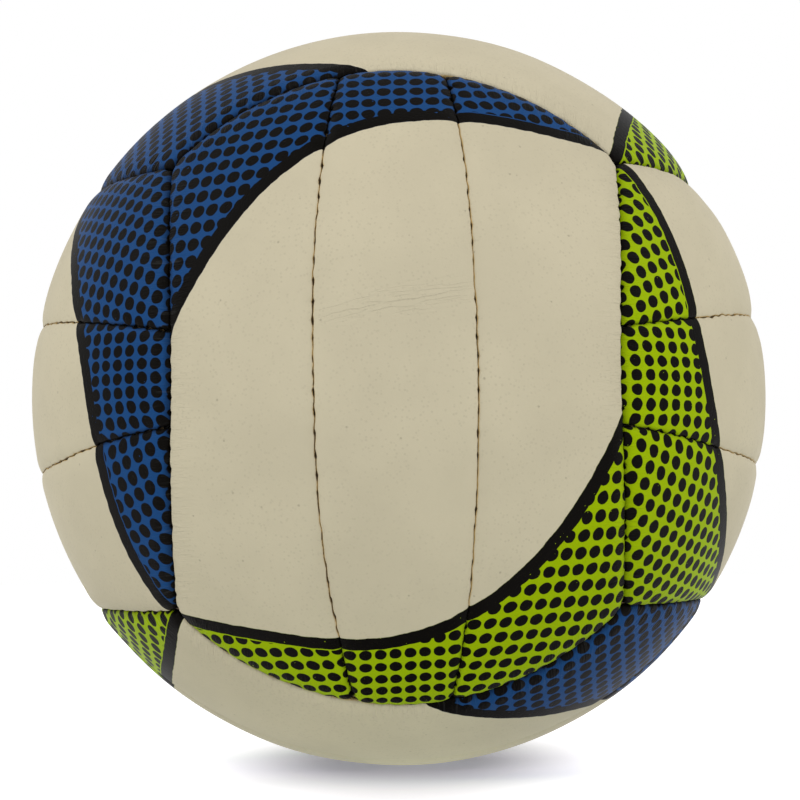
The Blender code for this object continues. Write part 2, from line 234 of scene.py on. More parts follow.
def strips():
    """Yields every strip with the turn from its own axes to the ball's.

    The strip at -u is turned half round, so that its u axis points away from the face's middle too.
    """
    for face, (u, v, n, names) in FACES.items():
        face_turn = np.array((u, v, n), float).T
        for role, name in zip((-1, 0, 1), names):
            half_turn = np.diag((-1, -1, 1)) if role < 0 else np.eye(3)
            yield Strip(f"{face}_{name}", face, role, face_turn @ half_turn)


def has_valve(strip):
    return strip.face == VALVE_FACE and strip.role == 0


def strip_seam(sizes):
    """Returns the plane between the middle and the outer strip, through its waist and its end."""
    waist_u = sizes.waist_width / 2 / sizes.radius
    waist_n = math.sqrt(1 - waist_u**2)
    end_u = sizes.end_width / 2 / sizes.radius
    slope = (waist_u - end_u) / (waist_n - CUBE_CORNER)
    return waist_u - slope * waist_n, slope


def moved(plane, arc, radius):
    """Returns a seam plane moved along u by an arc on the ball's surface."""
    offset, slope = plane
    stretch = math.hypot(1, slope)
    distance = offset / stretch
    return offset + arc / radius * math.sqrt(1 - distance**2) * stretch, slope


def strip_sides(role, seam, strip_inset, edge_inset, radius):
    """Returns the planes of a strip's two long sides, drawn in from its seams."""
    if role == 0:
        offset, slope = moved(seam, -strip_inset, radius)
        return (-offset, -slope), (offset, slope)
    return moved(seam, strip_inset, radius), moved(EDGE_SEAM, -edge_inset, radius)


def along_plane(plane, v):
    """Returns the directions in a seam plane at the given heights along the strip."""
    offset, slope = plane
    square = 1 + slope**2
    middle = -offset * slope / square
    n = middle + np.sqrt(middle**2 - (offset**2 + v**2 - 1) / square)
    return np.stack((offset + slope * n, v, n), axis=-1)


def end_angle(plane, end_n):
    """Returns how far a plane runs along the strip before it meets the strip's end."""
    offset, slope = plane
    end_u = offset + slope * end_n
    return np.arcsin(np.sqrt(1 - end_n**2 - end_u**2))


def strip_directions(sides, end_n, across, along):
    """Returns directions on a strip, with across and along from -1 to 1."""
    share = (across + 1) / 2
    offset = sides[0][0] * (1 - share) + sides[1][0] * share
    slope = sides[0][1] * (1 - share) + sides[1][1] * share
    reach = end_angle((offset, slope), end_n)
    return along_plane((offset, slope), np.sin(along * reach))


# Distances to the seams on a strip's three kinds of side, and places along those seams
SeamPlaces = namedtuple("SeamPlaces", "strip strip_along edge edge_along end end_along")


def seam_places(directions, strip, seam, radius):
    """Returns where directions lie by the seams.

    Places along a seam follow the ball's axes, so that they agree on both its sides.
    """
    u, v, n = directions.T
    u_way, v_way, _ = strip.turn.sum(axis=0)
    role = strip.role
    offset, slope = seam
    stretch = math.hypot(1, slope)
    circle = math.sqrt(1 - (offset / stretch) ** 2)
    beyond = (u - offset - slope * n) if role else (offset + slope * n - np.abs(u))
    # A middle strip has no long side on the cube's edges
    far = np.full_like(u, BALL_RADIUS)
    edge_arc = radius * EDGE_CIRCLE
    return SeamPlaces(
        strip=radius * beyond / stretch / circle,
        strip_along=v_way * radius * np.arcsin(v),
        edge=radius * (CUBE_CORNER - u) / EDGE_CIRCLE if role else far,
        edge_along=v_way * edge_arc * np.arcsin(np.clip(v / EDGE_CIRCLE, -1, 1)),
        end=radius * (n - CUBE_CORNER) / EDGE_CIRCLE,
        end_along=u_way * edge_arc * np.arcsin(np.clip(u / EDGE_CIRCLE, -1, 1)),
    )


# Unevenness, which depends only on the place on the ball, so that neighbours still meet

RIPPLE_WAVES = 5
# Slow, quick and jagged wobble of the seams: its wavelength and its reach
SEAM_WARPS = ((0.060, 0.00015), (0.011, 0.00007), (0.0034, 0.00009))
WARP_SEED_STEP = 10
EDGE_BOW = 0.0014
# The needle holes wander along their seam, and some stitches pull harder than others
STITCH_WANDER = 0.0008
STITCH_WANDER_WAVELENGTH = 0.030
STITCH_WANDER_SEED = 31
STITCH_SHARPNESS = 5
STITCH_PULL_MEAN = 0.55
STITCH_PULL_SPREAD = 0.55
STITCH_PULL_LEAST = 0.05
STITCH_PULL_WAVELENGTH = 0.016
STITCH_PULL_SEED = 32
DENT_DEPTH = 0.00012
DENT_WAVELENGTH = 0.034
DENT_SEED = 41
# Places on the seams round the ball's sides where the covers have sunk, or swell: the degrees up from the
# right, the reach and the depth. They lie a little in front of the ball's middle, and reach far along y.
SUNK_PLACES = (
    (35, 0.0085, 0.0013),
    (12, 0.0060, 0.0009),
    (168, 0.0060, 0.0005),
    (-12, 0.0060, 0.0004),
    (-144, 0.0080, -0.0004),
)
SUNK_LEAN = -0.12
SUNK_SHAPE = (1.0, 0.4, 1.0)
# Strips' ends that the sewing has drawn in: the face, the way along its strips, the line across them that
# the covers are drawn to, and the share of the distance
DRAWN_ENDS = (
    ("left", 1, -0.014, 0.13),
    ("right", 1, 0.004, 0.12),
    ("front", -1, 0.007, 0.09),
)
DRAWN_REACH_ACROSS = 0.030
DRAWN_REACH_ALONG = 0.045


def ripple(points, wavelength, seed):
    """Returns a smooth wobble of about -1 to 1 made of waves in random directions."""
    random = np.random.default_rng(seed)
    total = np.zeros(len(points))
    for _ in range(RIPPLE_WAVES):
        direction = random.normal(size=3)
        direction /= np.linalg.norm(direction)
        phase = random.uniform(0, 2 * math.pi)
        total += np.sin(points @ direction * (2 * math.pi / wavelength) + phase)
    return total / math.sqrt(RIPPLE_WAVES)


def edge_bow(points):
    """Returns how far the strips push out the middle of the seams at their ends.

    The push fades out at the cube's corners, where the squares of all three directions are a third.
    """
    towards = points / np.linalg.norm(points, axis=1, keepdims=True)
    squares = towards**2
    shift = np.zeros_like(points)
    for n, v, u in ((1, 2, 0), (0, 1, 2), (2, 0, 1)):
        share = EDGE_BOW * np.clip(1 - 3 * squares[:, u], 0, 1) ** 2 / (CUBE_CORNER * EDGE_CIRCLE)
        shift[:, n] -= share * towards[:, n] * squares[:, v]
        shift[:, v] += share * towards[:, v] * squares[:, n]
    return shift


def drawn_ends(points):
    """Returns how far some strips' ends are drawn in."""
    shift = np.zeros_like(points)
    for face, way, line, share in DRAWN_ENDS:
        u, v, n = np.array(FACES[face][:3], float)
        from_end = points - BALL_RADIUS * (way * v + n) / math.sqrt(2)
        across = points @ u
        away = np.hypot(from_end @ v, from_end @ n)
        strength = share * np.exp(-((across / DRAWN_REACH_ACROSS) ** 2) - (away / DRAWN_REACH_ALONG) ** 2)
        shift -= np.outer(strength * (across - line), u)
    return shift


def warped(points):
    """Returns points shifted a little, as hand sewing pulls the seams."""
    shift = edge_bow(points) + drawn_ends(points)
    for step, (wavelength, reach) in enumerate(SEAM_WARPS):
        for axis in range(3):
            shift[:, axis] += reach * ripple(points, wavelength, WARP_SEED_STEP * step + axis)
    radial = points / np.linalg.norm(points, axis=1, keepdims=True)
    return points + shift - radial * (shift * radial).sum(axis=1, keepdims=True)


def dents(points):
    """Returns how far the covers are dented at points on the ball."""
    depth = DENT_DEPTH * (1 + ripple(points, DENT_WAVELENGTH, DENT_SEED)) / 2
    for degrees, reach, sunk in SUNK_PLACES:
        turn = math.radians(degrees)
        way = np.array((math.cos(turn), SUNK_LEAN, math.sin(turn))) / math.hypot(1, SUNK_LEAN)
        distance = np.linalg.norm((points - way * BALL_RADIUS) * SUNK_SHAPE, axis=1)
        depth += sunk * np.exp(-((distance / reach) ** 2))
    return depth


def stitch_phase(along, points, pitch):
    """Returns the phase of the stitching, with a needle hole at every whole turn."""
    wander = STITCH_WANDER * ripple(points, STITCH_WANDER_WAVELENGTH, STITCH_WANDER_SEED)
    return 2 * math.pi * (along + wander) / pitch


def needle_holes(along, points, pitch):
    """Returns how hard the stitches pull at each place along a seam, from 0 to 1."""
    wave = (0.5 + 0.5 * np.cos(stitch_phase(along, points, pitch))) ** STITCH_SHARPNESS
    pull = STITCH_PULL_MEAN + STITCH_PULL_SPREAD * ripple(points, STITCH_PULL_WAVELENGTH, STITCH_PULL_SEED)
    return wave * np.clip(pull, STITCH_PULL_LEAST, 1)


# Covers

SEAM_GAP = 0.00001
SEAM_SWAY = 0.00006
# How the stitches open a seam and sink the covers at their needle holes
HOLE_OPENING = 0.00035
HOLE_DEPTH = 0.00028
HOLE_REACH = 0.0010
HOLE_PULL = 0.7
END_SHOULDER_GAIN = 0.8
CORNER_ROUNDING = 0.0004
CORNER_REACH = 0.0022
# The edge turned under at a seam
FOOT_DEPTH = 0.0027
FOOT_UNDERCUT = 0.0009
FOOT_THICKNESS = 0.0016
LINING_CLEARANCE = 0.0003
VALVE_CLEARANCE = 0.0002
VALVE_DIMPLE_REACH = 0.0070
VALVE_DIMPLE_DEPTH = 0.0004
EDGE_CREASE_CUT = 0.3
# Keeps a share from dividing by zero where two seams meet
HAIR = 1e-9

# A ring of a cover's edge: its share of the shoulder's width and depth, what is added to both, and how far
# the edge has turned under there
Ring = namedtuple("Ring", "width_share depth_share inset depth turned")


def cover_rings(sizes):
    """Returns a cover's edge from its face, over the shoulder and under, to its inner side."""
    rings = []
    for step in range(SHOULDER_STEPS + 1):
        turn = math.pi / 2 * step / SHOULDER_STEPS
        rings.append(Ring(1 - math.sin(turn), 1 - math.cos(turn), 0.0, 0.0, step / SHOULDER_STEPS))
    reach = FOOT_UNDERCUT + FOOT_THICKNESS
    rings.append(Ring(0.0, 0.0, FOOT_UNDERCUT, FOOT_DEPTH, 1.0))
    rings.append(Ring(0.0, 0.0, reach, FOOT_DEPTH, 1.0))
    rings.append(Ring(0.0, 0.0, reach, sizes.cover_thickness, 1.0))
    return rings


def lining_rings(sizes):
    """Returns a lining's edge, which lies inside its cover's turned-under edge."""
    inset = FOOT_UNDERCUT + FOOT_THICKNESS + LINING_CLEARANCE
    top = sizes.cover_thickness + LINING_CLEARANCE
    return [Ring(0.0, 0.0, inset, top, 1.0), Ring(0.0, 0.0, inset, top + sizes.lining_thickness, 1.0)]


def strip_block(columns, rows, rings):
    """Returns a flat block of faces: a grid, its raised copy, and rings of walls between them."""
    block = bmesh.new()
    bmesh.ops.create_grid(block, x_segments=columns, y_segments=rows, size=1)
    for vert in block.verts:
        vert.co.xy = [place * (1 + EDGE_CROWDING * (1 - place**2)) for place in vert.co.xy]
    raised = bmesh.ops.extrude_face_region(block, geom=list(block.faces), use_keep_orig=True)
    lifted = [part for part in raised["geom"] if isinstance(part, bmesh.types.BMVert)]
    bmesh.ops.translate(block, verts=lifted, vec=(0, 0, rings))
    uprights = [edge for edge in block.edges if abs(edge.verts[0].co.z - edge.verts[1].co.z) > rings / 2]
    if rings > 1:
        bmesh.ops.subdivide_edges(block, edges=uprights, cuts=rings - 1)
    bmesh.ops.recalc_face_normals(block, faces=block.faces)
    mesh = bpy.data.meshes.new("strip_block")
    block.to_mesh(mesh)
    block.free()
    mesh.shade_smooth()
    return mesh


def cut_valve_hole(mesh, radius, sizes):
    """Cuts a round way through the middle of a flat block, for the valve."""
    seam_offset, seam_slope = strip_seam(sizes)
    half_width = sizes.radius * (seam_offset + seam_slope)
    half_length = sizes.radius * math.acos(CUBE_CORNER)
    block = bmesh.new()
    block.from_mesh(mesh)
    levels = [vert.co.z for vert in block.verts]
    holed = []
    for face in block.faces:
        centre = face.calc_center_median()
        flat = centre.z in (min(levels), max(levels))
        if flat and math.hypot(centre.x * half_width, centre.y * half_length) < radius:
            holed.append(face)
    bmesh.ops.delete(block, geom=holed, context="FACES")
    rims = [edge for edge in block.edges if edge.is_boundary]
    hole = block.verts.layers.float.new("valve_hole")
    for edge in rims:
        for vert in edge.verts:
            vert[hole] = radius
    bmesh.ops.bridge_loops(block, edges=rims)
    bmesh.ops.recalc_face_normals(block, faces=block.faces)
    block.to_mesh(mesh)
    block.free()
    mesh.shade_smooth()


def vertex_places(mesh):
    places = np.empty(len(mesh.vertices) * 3)
    mesh.vertices.foreach_get("co", places)
    return places.reshape(-1, 3)


def dip(distance, drop, width):
    """Returns how far a cover dips at a distance from a seam."""
    return drop * np.clip(1 - np.abs(distance) / width, 0, 1) ** 2


def dips(places, sizes):
    """Returns how far a cover dips towards all its seams."""
    return np.sqrt(
        dip(places.strip, sizes.strip_drop, sizes.strip_dip_width) ** 2
        + dip(places.edge, sizes.edge_drop, sizes.edge_dip_width) ** 2
        + dip(places.end, sizes.edge_drop, sizes.edge_dip_width) ** 2
    )


def corner_rounding(places):
    """Returns how far the corners of a strip are rounded off."""
    long_side = np.minimum(np.abs(places.strip), np.abs(places.edge))
    return CORNER_ROUNDING * np.exp(-((np.hypot(long_side, places.end) / CORNER_REACH) ** 2))


def stitch_pulls(strip, places, points, turned_in, shoulder, sizes):
    """Returns how far the stitches draw a strip in from its seams, and how near it is to a needle hole.

    The first is a list for the strip's three kinds of side.
    """
    opening = HOLE_OPENING * shoulder / sizes.strip_shoulder
    share = HOLE_PULL + (1 - HOLE_PULL) * turned_in
    pulls = []
    holes = []
    for distance, along, way in (
        (places.strip, places.strip_along, 1 if strip.role else -1),
        (places.edge, places.edge_along, -1),
        (places.end, places.end_along, 1),
    ):
        near = np.exp(-np.abs(distance) / HOLE_REACH)
        hole = near * needle_holes(along, points, sizes.stitch_pitch)
        sway = SEAM_SWAY * near * np.sin(stitch_phase(along, points, sizes.stitch_pitch))
        pulls.append(opening * hole * share + way * sway)
        holes.append(hole)
    return pulls, np.maximum.reduce(holes)


def round_valve_hole(mesh, directions, radius):
    """Moves the rim of a valve hole, on a mesh that has one, out to the hole's radius."""
    hole = mesh.attributes.get("valve_hole")
    if hole:
        rim = np.empty(len(directions))
        hole.data.foreach_get("value", rim)
        reach = radius * np.hypot(directions[:, 0], directions[:, 1])
        directions[:, :2] *= np.where(rim > 0, rim / reach, 1)[:, None]


def wrap_strip(strip, mesh, rings, sizes):
    """Wraps a flat block on the ball as one strip.

    Returns its vertices' directions in the strip's axes, their places by the seams, how far they are turned
    in there and how near they are to a needle hole.
    """
    seam = strip_seam(sizes)
    across, along, level = vertex_places(mesh).T
    index = len(rings) - 1 - np.rint(level).astype(int)
    ring = Ring(*(np.array(values)[index] for values in zip(*rings)))
    near_end = np.clip(2 * np.abs(along) - 1, 0, 1)
    strip_shoulder = sizes.strip_shoulder * (1 + END_SHOULDER_GAIN * near_end**2)
    strip_inset = SEAM_GAP + ring.width_share * strip_shoulder + ring.inset
    edge_inset = SEAM_GAP + ring.width_share * sizes.edge_shoulder + ring.inset

    def directions(strip_pull, edge_pull, end_pull):
        insets = strip_inset + strip_pull, edge_inset + edge_pull
        sides = strip_sides(strip.role, seam, *insets, sizes.radius)
        end_n, _ = moved(EDGE_SEAM, edge_inset + end_pull, sizes.radius)
        return strip_directions(sides, end_n, across, along)

    rough = directions(0.0, 0.0, 0.0)
    points = rough @ strip.turn.T * sizes.radius
    places = seam_places(rough, strip, seam, sizes.radius)
    corner = corner_rounding(places)
    pulls, holes = stitch_pulls(strip, places, points, ring.turned, strip_shoulder, sizes)
    final = directions(*(pull + corner for pull in pulls))
    round_valve_hole(mesh, final, sizes.radius)

    edge_distance = np.minimum(np.abs(places.edge), np.abs(places.end))
    edge_share = np.abs(places.strip) / (np.abs(places.strip) + edge_distance + HAIR)
    shoulder = strip_shoulder + (sizes.edge_shoulder - strip_shoulder) * edge_share
    depth = ring.depth_share * shoulder + ring.depth + dips(places, sizes)
    depth += HOLE_DEPTH * holes + corner / 2 + dents(points)
    if has_valve(strip):
        off_axis = sizes.radius * np.hypot(final[:, 0], final[:, 1])
        depth += VALVE_DIMPLE_DEPTH * np.exp(-((off_axis / VALVE_DIMPLE_REACH) ** 2))
    placed = final @ strip.turn.T * (sizes.radius - depth)[:, None]
    mesh.vertices.foreach_set("co", warped(placed).ravel())
    mesh.update()
    return final, places, ring.turned * (1 - EDGE_CREASE_CUT * edge_share), holes


def strip_meshes(ending, finish, facets, rings, hole_radius, sizes):
    """Yields every strip with its mesh, wrapped on the ball, and with what wrap_strip returns for it."""
    block = strip_block(*facets, len(rings) - 1)
    block.materials.append(finish)
    for strip in strips():
        mesh = block.copy()
        mesh.name = strip.name + ending
        if has_valve(strip):
            cut_valve_hole(mesh, hole_radius, sizes)
        yield strip, mesh, wrap_strip(strip, mesh, rings, sizes)
    bpy.data.meshes.remove(block)


# Print. The border is a curve in u and v, from one long side of the face near its middle to the far corner
# of the other. On the front it starts nearer the strips' ends, and the print sits a little high.
BORDER = ((-0.0606, 0.0063), (-0.0259, 0.0712), (0.0097, 0.0675), (0.0606, 0.0588))
FRONT_BORDER = ((-0.0606, 0.0109), (-0.0259, 0.0781), (0.0097, 0.0703), (0.0606, 0.0611))
FRONT_PRINT_LIFT = 0.0009
BORDER_STEPS = 400
# Strips at the narrow end of a print keep a clear line between the band and the dots
PRINT_MARGIN = 0.00035
NO_MARGIN = -10
HALF_PITCH_FACES = ("front", "back")
# Wrinkles across one cover: the place of their middle on the strip's map, their slant, and how far off
# the other covers lie
WRINKLED_STRIP = "front_middle"
WRINKLE_PLACE = (0.0010, 0.0185)
WRINKLE_SLANT = math.radians(10)
WRINKLES_AWAY = 1.0
# Puckers run in from the edges of a face by a reach, and leave its corners plain
PUCKER_REACH = 0.013
PUCKER_CORNER = 0.004
# The strips' maps lie apart by this for each letter of a cover's name, so that their creases differ
STRIP_MAP_PITCH = 100


def print_border(directions, knots, lift, radius):
    """Returns how far inside the print at the +v end each direction lies, as a distance on the ball."""
    curve = np.array(interpolate_bezier(*(Vector(knot) / radius for knot in knots), BORDER_STEPS))
    u, v, _ = directions.T
    height = np.interp(u, curve[:, 0], curve[:, 1]) + lift / radius
    slope = np.interp(u, curve[:, 0], np.gradient(curve[:, 1], curve[:, 0]))
    steepness = np.sqrt(1 + slope**2 - (v - u * slope) ** 2)
    return radius * (v - height) / steepness


def add_values(mesh, name, values):
    attribute = mesh.attributes.new(name, "FLOAT", "POINT")
    attribute.data.foreach_set("value", np.asarray(values, np.float32))


def add_map(mesh, name, first, second):
    """Adds a UV map that holds two values for each vertex."""
    corners = np.empty(len(mesh.loops), np.int32)
    mesh.loops.foreach_get("vertex_index", corners)
    layer = mesh.uv_layers.new(name=name)
    layer.uv.foreach_set("vector", np.stack((first, second), axis=-1)[corners].astype(np.float32).ravel())


def flattened(directions, turned_by, radius):
    """Returns how far directions lie across and along a strip that is laid flat."""
    u, v, n = directions.T
    climb = np.arcsin(v)
    across = radius * (np.arctan2(u, n) - turned_by) * np.cos(climb)
    return across, radius * climb


def wrinkle_map(strip, x, y):
    """Returns places along and across the wrinkles, which only one cover has."""
    x = x - WRINKLE_PLACE[0] + (0 if strip.name == WRINKLED_STRIP else WRINKLES_AWAY)
    y = y - WRINKLE_PLACE[1]
    along = x * math.cos(WRINKLE_SLANT) + y * math.sin(WRINKLE_SLANT)
    across = y * math.cos(WRINKLE_SLANT) - x * math.sin(WRINKLE_SLANT)
    return along * IN_MILLIMETRES, across * IN_MILLIMETRES


def lay_print(strip, mesh, final, places, crease, hole, sizes, pattern):
    """Stores what the printed leather reads: the print's border, tint and dots, and the seams."""
    side = -1 if strip.role < 0 else 1
    facewise = final * (side, side, 1)
    x, y = flattened(facewise, strip.role * OUTER_STRIP_TURN, sizes.radius)
    half = 0.5 if strip.face in HALF_PITCH_FACES else 0.0
    columns = x / pattern.column_pitch + half
    rows = (y - x * math.tan(pattern.row_tilt)) / pattern.row_pitch
    add_map(mesh, "dots", columns, rows)
    apart = STRIP_MAP_PITCH * len(mesh.name)
    add_map(mesh, "strip", x * IN_MILLIMETRES + apart, y * IN_MILLIMETRES)
    add_map(mesh, "wrinkles", *wrinkle_map(strip, x, y))
    edge_along = np.where(places.end < places.edge, places.end_along, places.edge_along)
    edge_distance = np.minimum(places.end, places.edge)
    add_map(mesh, "edge_seam", edge_along * IN_MILLIMETRES, edge_distance * IN_MILLIMETRES)

    knots, lift = (FRONT_BORDER, FRONT_PRINT_LIFT) if strip.face == "front" else (BORDER, 0.0)
    plus_end = print_border(facewise, knots, lift, sizes.radius)
    minus_end = print_border(facewise * (-1, -1, 1), knots, -lift, sizes.radius)
    at_plus_end = plus_end > minus_end
    narrow = strip.role * np.where(at_plus_end, 1, -1) > 0
    add_values(mesh, "border", np.maximum(plus_end, minus_end) * IN_MILLIMETRES)
    add_values(mesh, "green", at_plus_end == (strip.face in GREEN_FIRST_FACES))
    add_values(mesh, "strip_seam", places.strip * IN_MILLIMETRES)
    add_values(mesh, "margin", np.where(narrow, PRINT_MARGIN * IN_MILLIMETRES, NO_MARGIN))
    add_values(mesh, "crease", crease)
    add_values(mesh, "hole", hole)
    at_strip_seam = np.abs(places.strip) < edge_distance
    # The wall of a seam between strips on this side gets painted shade
    shaded_side = (facewise[:, 0] > 0) if strip.role == 0 else strip.role < 0
    add_values(mesh, "dark_wall", at_strip_seam & shaded_side)
    past = np.clip(edge_distance / PUCKER_REACH, 0, 1)
    off_corner = np.clip(np.abs(places.end - places.edge) / PUCKER_CORNER, 0, 1)
    add_values(mesh, "pucker", (1 - past**2 * (3 - 2 * past)) * off_corner)


# Node helpers


def add_node(tree, kind, inputs=None, **settings):
    """Adds a node. An input is either a value or the socket that feeds it."""
    made = tree.nodes.new(kind)
    for name, value in settings.items():
        setattr(made, name, value)
    for key, value in (inputs or {}).items():
        if isinstance(value, bpy.types.NodeSocket):
            tree.links.new(value, made.inputs[key])
        else:
            made.inputs[key].default_value = value
    return made


def maths(tree, operation, *values):
    return add_node(tree, "ShaderNodeMath", dict(enumerate(values)), operation=operation).outputs[0]


def smooth_step(tree, value, low, high):
    """Returns 0 below low and 1 above high, eased between them."""
    inputs = {"Value": value, "From Min": low, "From Max": high}
    return add_node(tree, "ShaderNodeMapRange", inputs, interpolation_type="SMOOTHSTEP").outputs["Result"]


def fade_out(tree, value, low, high):
    """Returns 1 below low and 0 above high, eased between them."""
    return maths(tree, "SUBTRACT", 1.0, smooth_step(tree, value, low, high))


def mixed(tree, share, first, second):
    """Returns a mix of two colours."""
    inputs = {0: share, 6: first, 7: second}
    return add_node(tree, "ShaderNodeMix", inputs, data_type="RGBA").outputs[2]


def mixed_values(tree, share, first, second):
    """Returns a mix of two values."""
    return add_node(tree, "ShaderNodeMix", {0: share, 2: first, 3: second}).outputs[0]


def noise(tree, coordinates, scale, detail=2.0, roughness=0.5):
    inputs = {"Vector": coordinates, "Scale": scale, "Detail": detail, "Roughness": roughness}
    return add_node(tree, "ShaderNodeTexNoise", inputs).outputs["Fac"]


def ridges(tree, waves):
    """Returns how far noise lies from its middle, which is 0 along winding lines."""
    return maths(tree, "ABSOLUTE", maths(tree, "SUBTRACT", waves, 0.5))


def mapped(tree, coordinates, **settings):
    """Returns coordinates moved by a Location, turned by a Rotation or multiplied by a Scale."""
    return add_node(tree, "ShaderNodeMapping", {"Vector": coordinates, **settings}).outputs["Vector"]


def separated(tree, vector):
    return add_node(tree, "ShaderNodeSeparateXYZ", {"Vector": vector}).outputs


def vector_length(tree, vector):
    return add_node(tree, "ShaderNodeVectorMath", {0: vector}, operation="LENGTH").outputs["Value"]


def object_coordinates(tree):
    return add_node(tree, "ShaderNodeTexCoord").outputs["Object"]


def attribute_value(tree, name):
    return add_node(tree, "ShaderNodeAttribute", attribute_name=name).outputs["Fac"]


def map_coordinates(tree, name):
    return add_node(tree, "ShaderNodeUVMap", uv_map=name).outputs["UV"]


def opaque(rgb):
    return (*rgb, 1.0)


def shaded(rgb, share):
    return opaque(channel * share for channel in rgb)


def new_group(name, inputs, outputs):
    """Starts a node group and returns its tree, its input node and its output node."""
    tree = bpy.data.node_groups.new(name, "ShaderNodeTree")
    for socket, kind, default in inputs:
        made = tree.interface.new_socket(socket, in_out="INPUT", socket_type=kind)
        if default is not None:
            made.default_value = default
    for socket in outputs:
        tree.interface.new_socket(socket, in_out="OUTPUT", socket_type="NodeSocketFloat")
    return tree, tree.nodes.new("NodeGroupInput").outputs, tree.nodes.new("NodeGroupOutput").inputs


def use_group(tree, name, build, inputs):
    """Places a node group, which is built the first time that it is asked for, and returns its outputs."""
    group = bpy.data.node_groups.get(name) or build(name)
    return add_node(tree, "ShaderNodeGroup", inputs, node_tree=group).outputs


def new_material(name):
    """Starts a material and returns it with its tree and its shader."""
    made = bpy.data.materials.new(name)
    made.use_nodes = True
    return made, made.node_tree, made.node_tree.nodes["Principled BSDF"]


def set_bump(tree, shader, height, distance, strength=1.0):
    inputs = {"Height": height, "Distance": distance, "Strength": strength}
    bump = add_node(tree, "ShaderNodeBump", inputs)
    tree.links.new(bump.outputs["Normal"], shader.inputs["Normal"])


# Effects that the finishes are made of. Scales of noise are in cells a metre.

# Grain: heights are shares of the fine grain's, and pores and pits are sized by their spacing
FINE_GRAIN_SCALE = 1300.0
CREASE_SLANT = math.radians(15)
CREASE_STRETCH = (0.75, 0.10, 0.10)
CREASE_PATCH_SCALE = 26.0
CREASE_PATCHES = (0.45, 0.60)
PORE_SCALE = 800.0
PORE_SIZE = (0.08, 0.38)
PORE_DEPTH = 0.7
PORE_PATCH_SCALE = 45.0
PORE_PATCHES = (0.25, 0.55)
PIT_SCALE = 150.0
PIT_SIZE = (0.025, 0.065)
PIT_DEPTH = 1.5
MOTTLE_SCALE = 30.0
# How much a thread of the weave sinks where it passes under another
WEAVE_SINK = 0.4
CLOUD_RANGE = (0.3, 0.7)


def halftone_group(name):
    """A printed end: a black band along its border, then black dots on a coloured ground."""
    inputs = (
        ("Dots", "NodeSocketVector", None),
        ("Border", "NodeSocketFloat", 0.0),
        ("Band width", "NodeSocketFloat", 4.0),
        ("Dot radius", "NodeSocketFloat", 1.5),
        ("Column pitch", "NodeSocketFloat", 4.3),
        ("Row pitch", "NodeSocketFloat", 4.6),
        ("Margin", "NodeSocketFloat", 0.0),
        ("Wobble", "NodeSocketFloat", 0.0),
        ("Softness", "NodeSocketFloat", 0.1),
    )
    tree, given, made = new_group(name, inputs, ("Ground", "Ink"))
    softness = given["Softness"]
    minus = maths(tree, "MULTIPLY", softness, -1.0)
    border = maths(tree, "ADD", given["Border"], given["Wobble"])
    ground = smooth_step(tree, border, minus, softness)
    past_band = maths(tree, "SUBTRACT", border, given["Band width"])
    past_margin = maths(tree, "SUBTRACT", past_band, given["Margin"])
    band = fade_out(tree, past_band, minus, softness)
    place = separated(tree, given["Dots"])
    squares = []
    for axis, pitch in (("X", "Column pitch"), ("Y", "Row pitch")):
        cell = maths(tree, "FRACT", maths(tree, "ADD", place[axis], 0.5))
        reach = maths(tree, "MULTIPLY", maths(tree, "SUBTRACT", cell, 0.5), given[pitch])
        squares.append(maths(tree, "MULTIPLY", reach, reach))
    distance = maths(tree, "SQRT", maths(tree, "ADD", *squares))
    past_dot = maths(tree, "SUBTRACT", maths(tree, "ADD", distance, given["Wobble"]), given["Dot radius"])
    dot = fade_out(tree, past_dot, minus, softness)
    dot = maths(tree, "MULTIPLY", dot, smooth_step(tree, past_margin, minus, softness))
    ink = maths(tree, "MULTIPLY", maths(tree, "MAXIMUM", band, dot), ground)
    tree.links.new(ground, made["Ground"])
    tree.links.new(ink, made["Ink"])
    return tree


def sunk_points(tree, coordinates, scale, core, rim):
    """Returns 1 at scattered points, fading to 0 at a rim given as a share of their spacing."""
    cells = {"Vector": coordinates, "Scale": scale, "Randomness": 1.0}
    distance = add_node(tree, "ShaderNodeTexVoronoi", cells).outputs["Distance"]
    return fade_out(tree, distance, core, rim)


def grain_group(name):
    """Fine grain, faint lengthwise creases, pores and sparse pits of a smooth coated surface.

    The creases run near the Y axis of their own coordinates, which are in millimetres.
    """
    inputs = (
        ("Coordinates", "NodeSocketVector", None),
        ("Crease coordinates", "NodeSocketVector", None),
        ("Crease", "NodeSocketFloat", 1.0),
    )
    tree, given, made = new_group(name, inputs, ("Height", "Pores", "Pits", "Mottle"))
    place = given["Coordinates"]
    fine = noise(tree, place, FINE_GRAIN_SCALE, detail=3.0, roughness=0.6)
    slanted = mapped(tree, given["Crease coordinates"], Rotation=(0, 0, CREASE_SLANT))
    crease = noise(tree, mapped(tree, slanted, Scale=CREASE_STRETCH), 1.0)
    crease_patches = smooth_step(tree, noise(tree, place, CREASE_PATCH_SCALE), *CREASE_PATCHES)
    crease = maths(tree, "MULTIPLY", crease, given["Crease"])
    crease = maths(tree, "MULTIPLY", crease, crease_patches)
    pores = sunk_points(tree, place, PORE_SCALE, *PORE_SIZE)
    pore_patches = smooth_step(tree, noise(tree, place, PORE_PATCH_SCALE), *PORE_PATCHES)
    pores = maths(tree, "MULTIPLY", pores, pore_patches)
    pits = sunk_points(tree, place, PIT_SCALE, *PIT_SIZE)
    height = maths(tree, "ADD", fine, crease)
    height = maths(tree, "MULTIPLY_ADD", pores, -PORE_DEPTH, height)
    height = maths(tree, "MULTIPLY_ADD", pits, -PIT_DEPTH, height)
    mottle = noise(tree, place, MOTTLE_SCALE, detail=4.0, roughness=0.6)
    for output, value in (("Height", height), ("Pores", pores), ("Pits", pits), ("Mottle", mottle)):
        tree.links.new(value, made[output])
    return tree


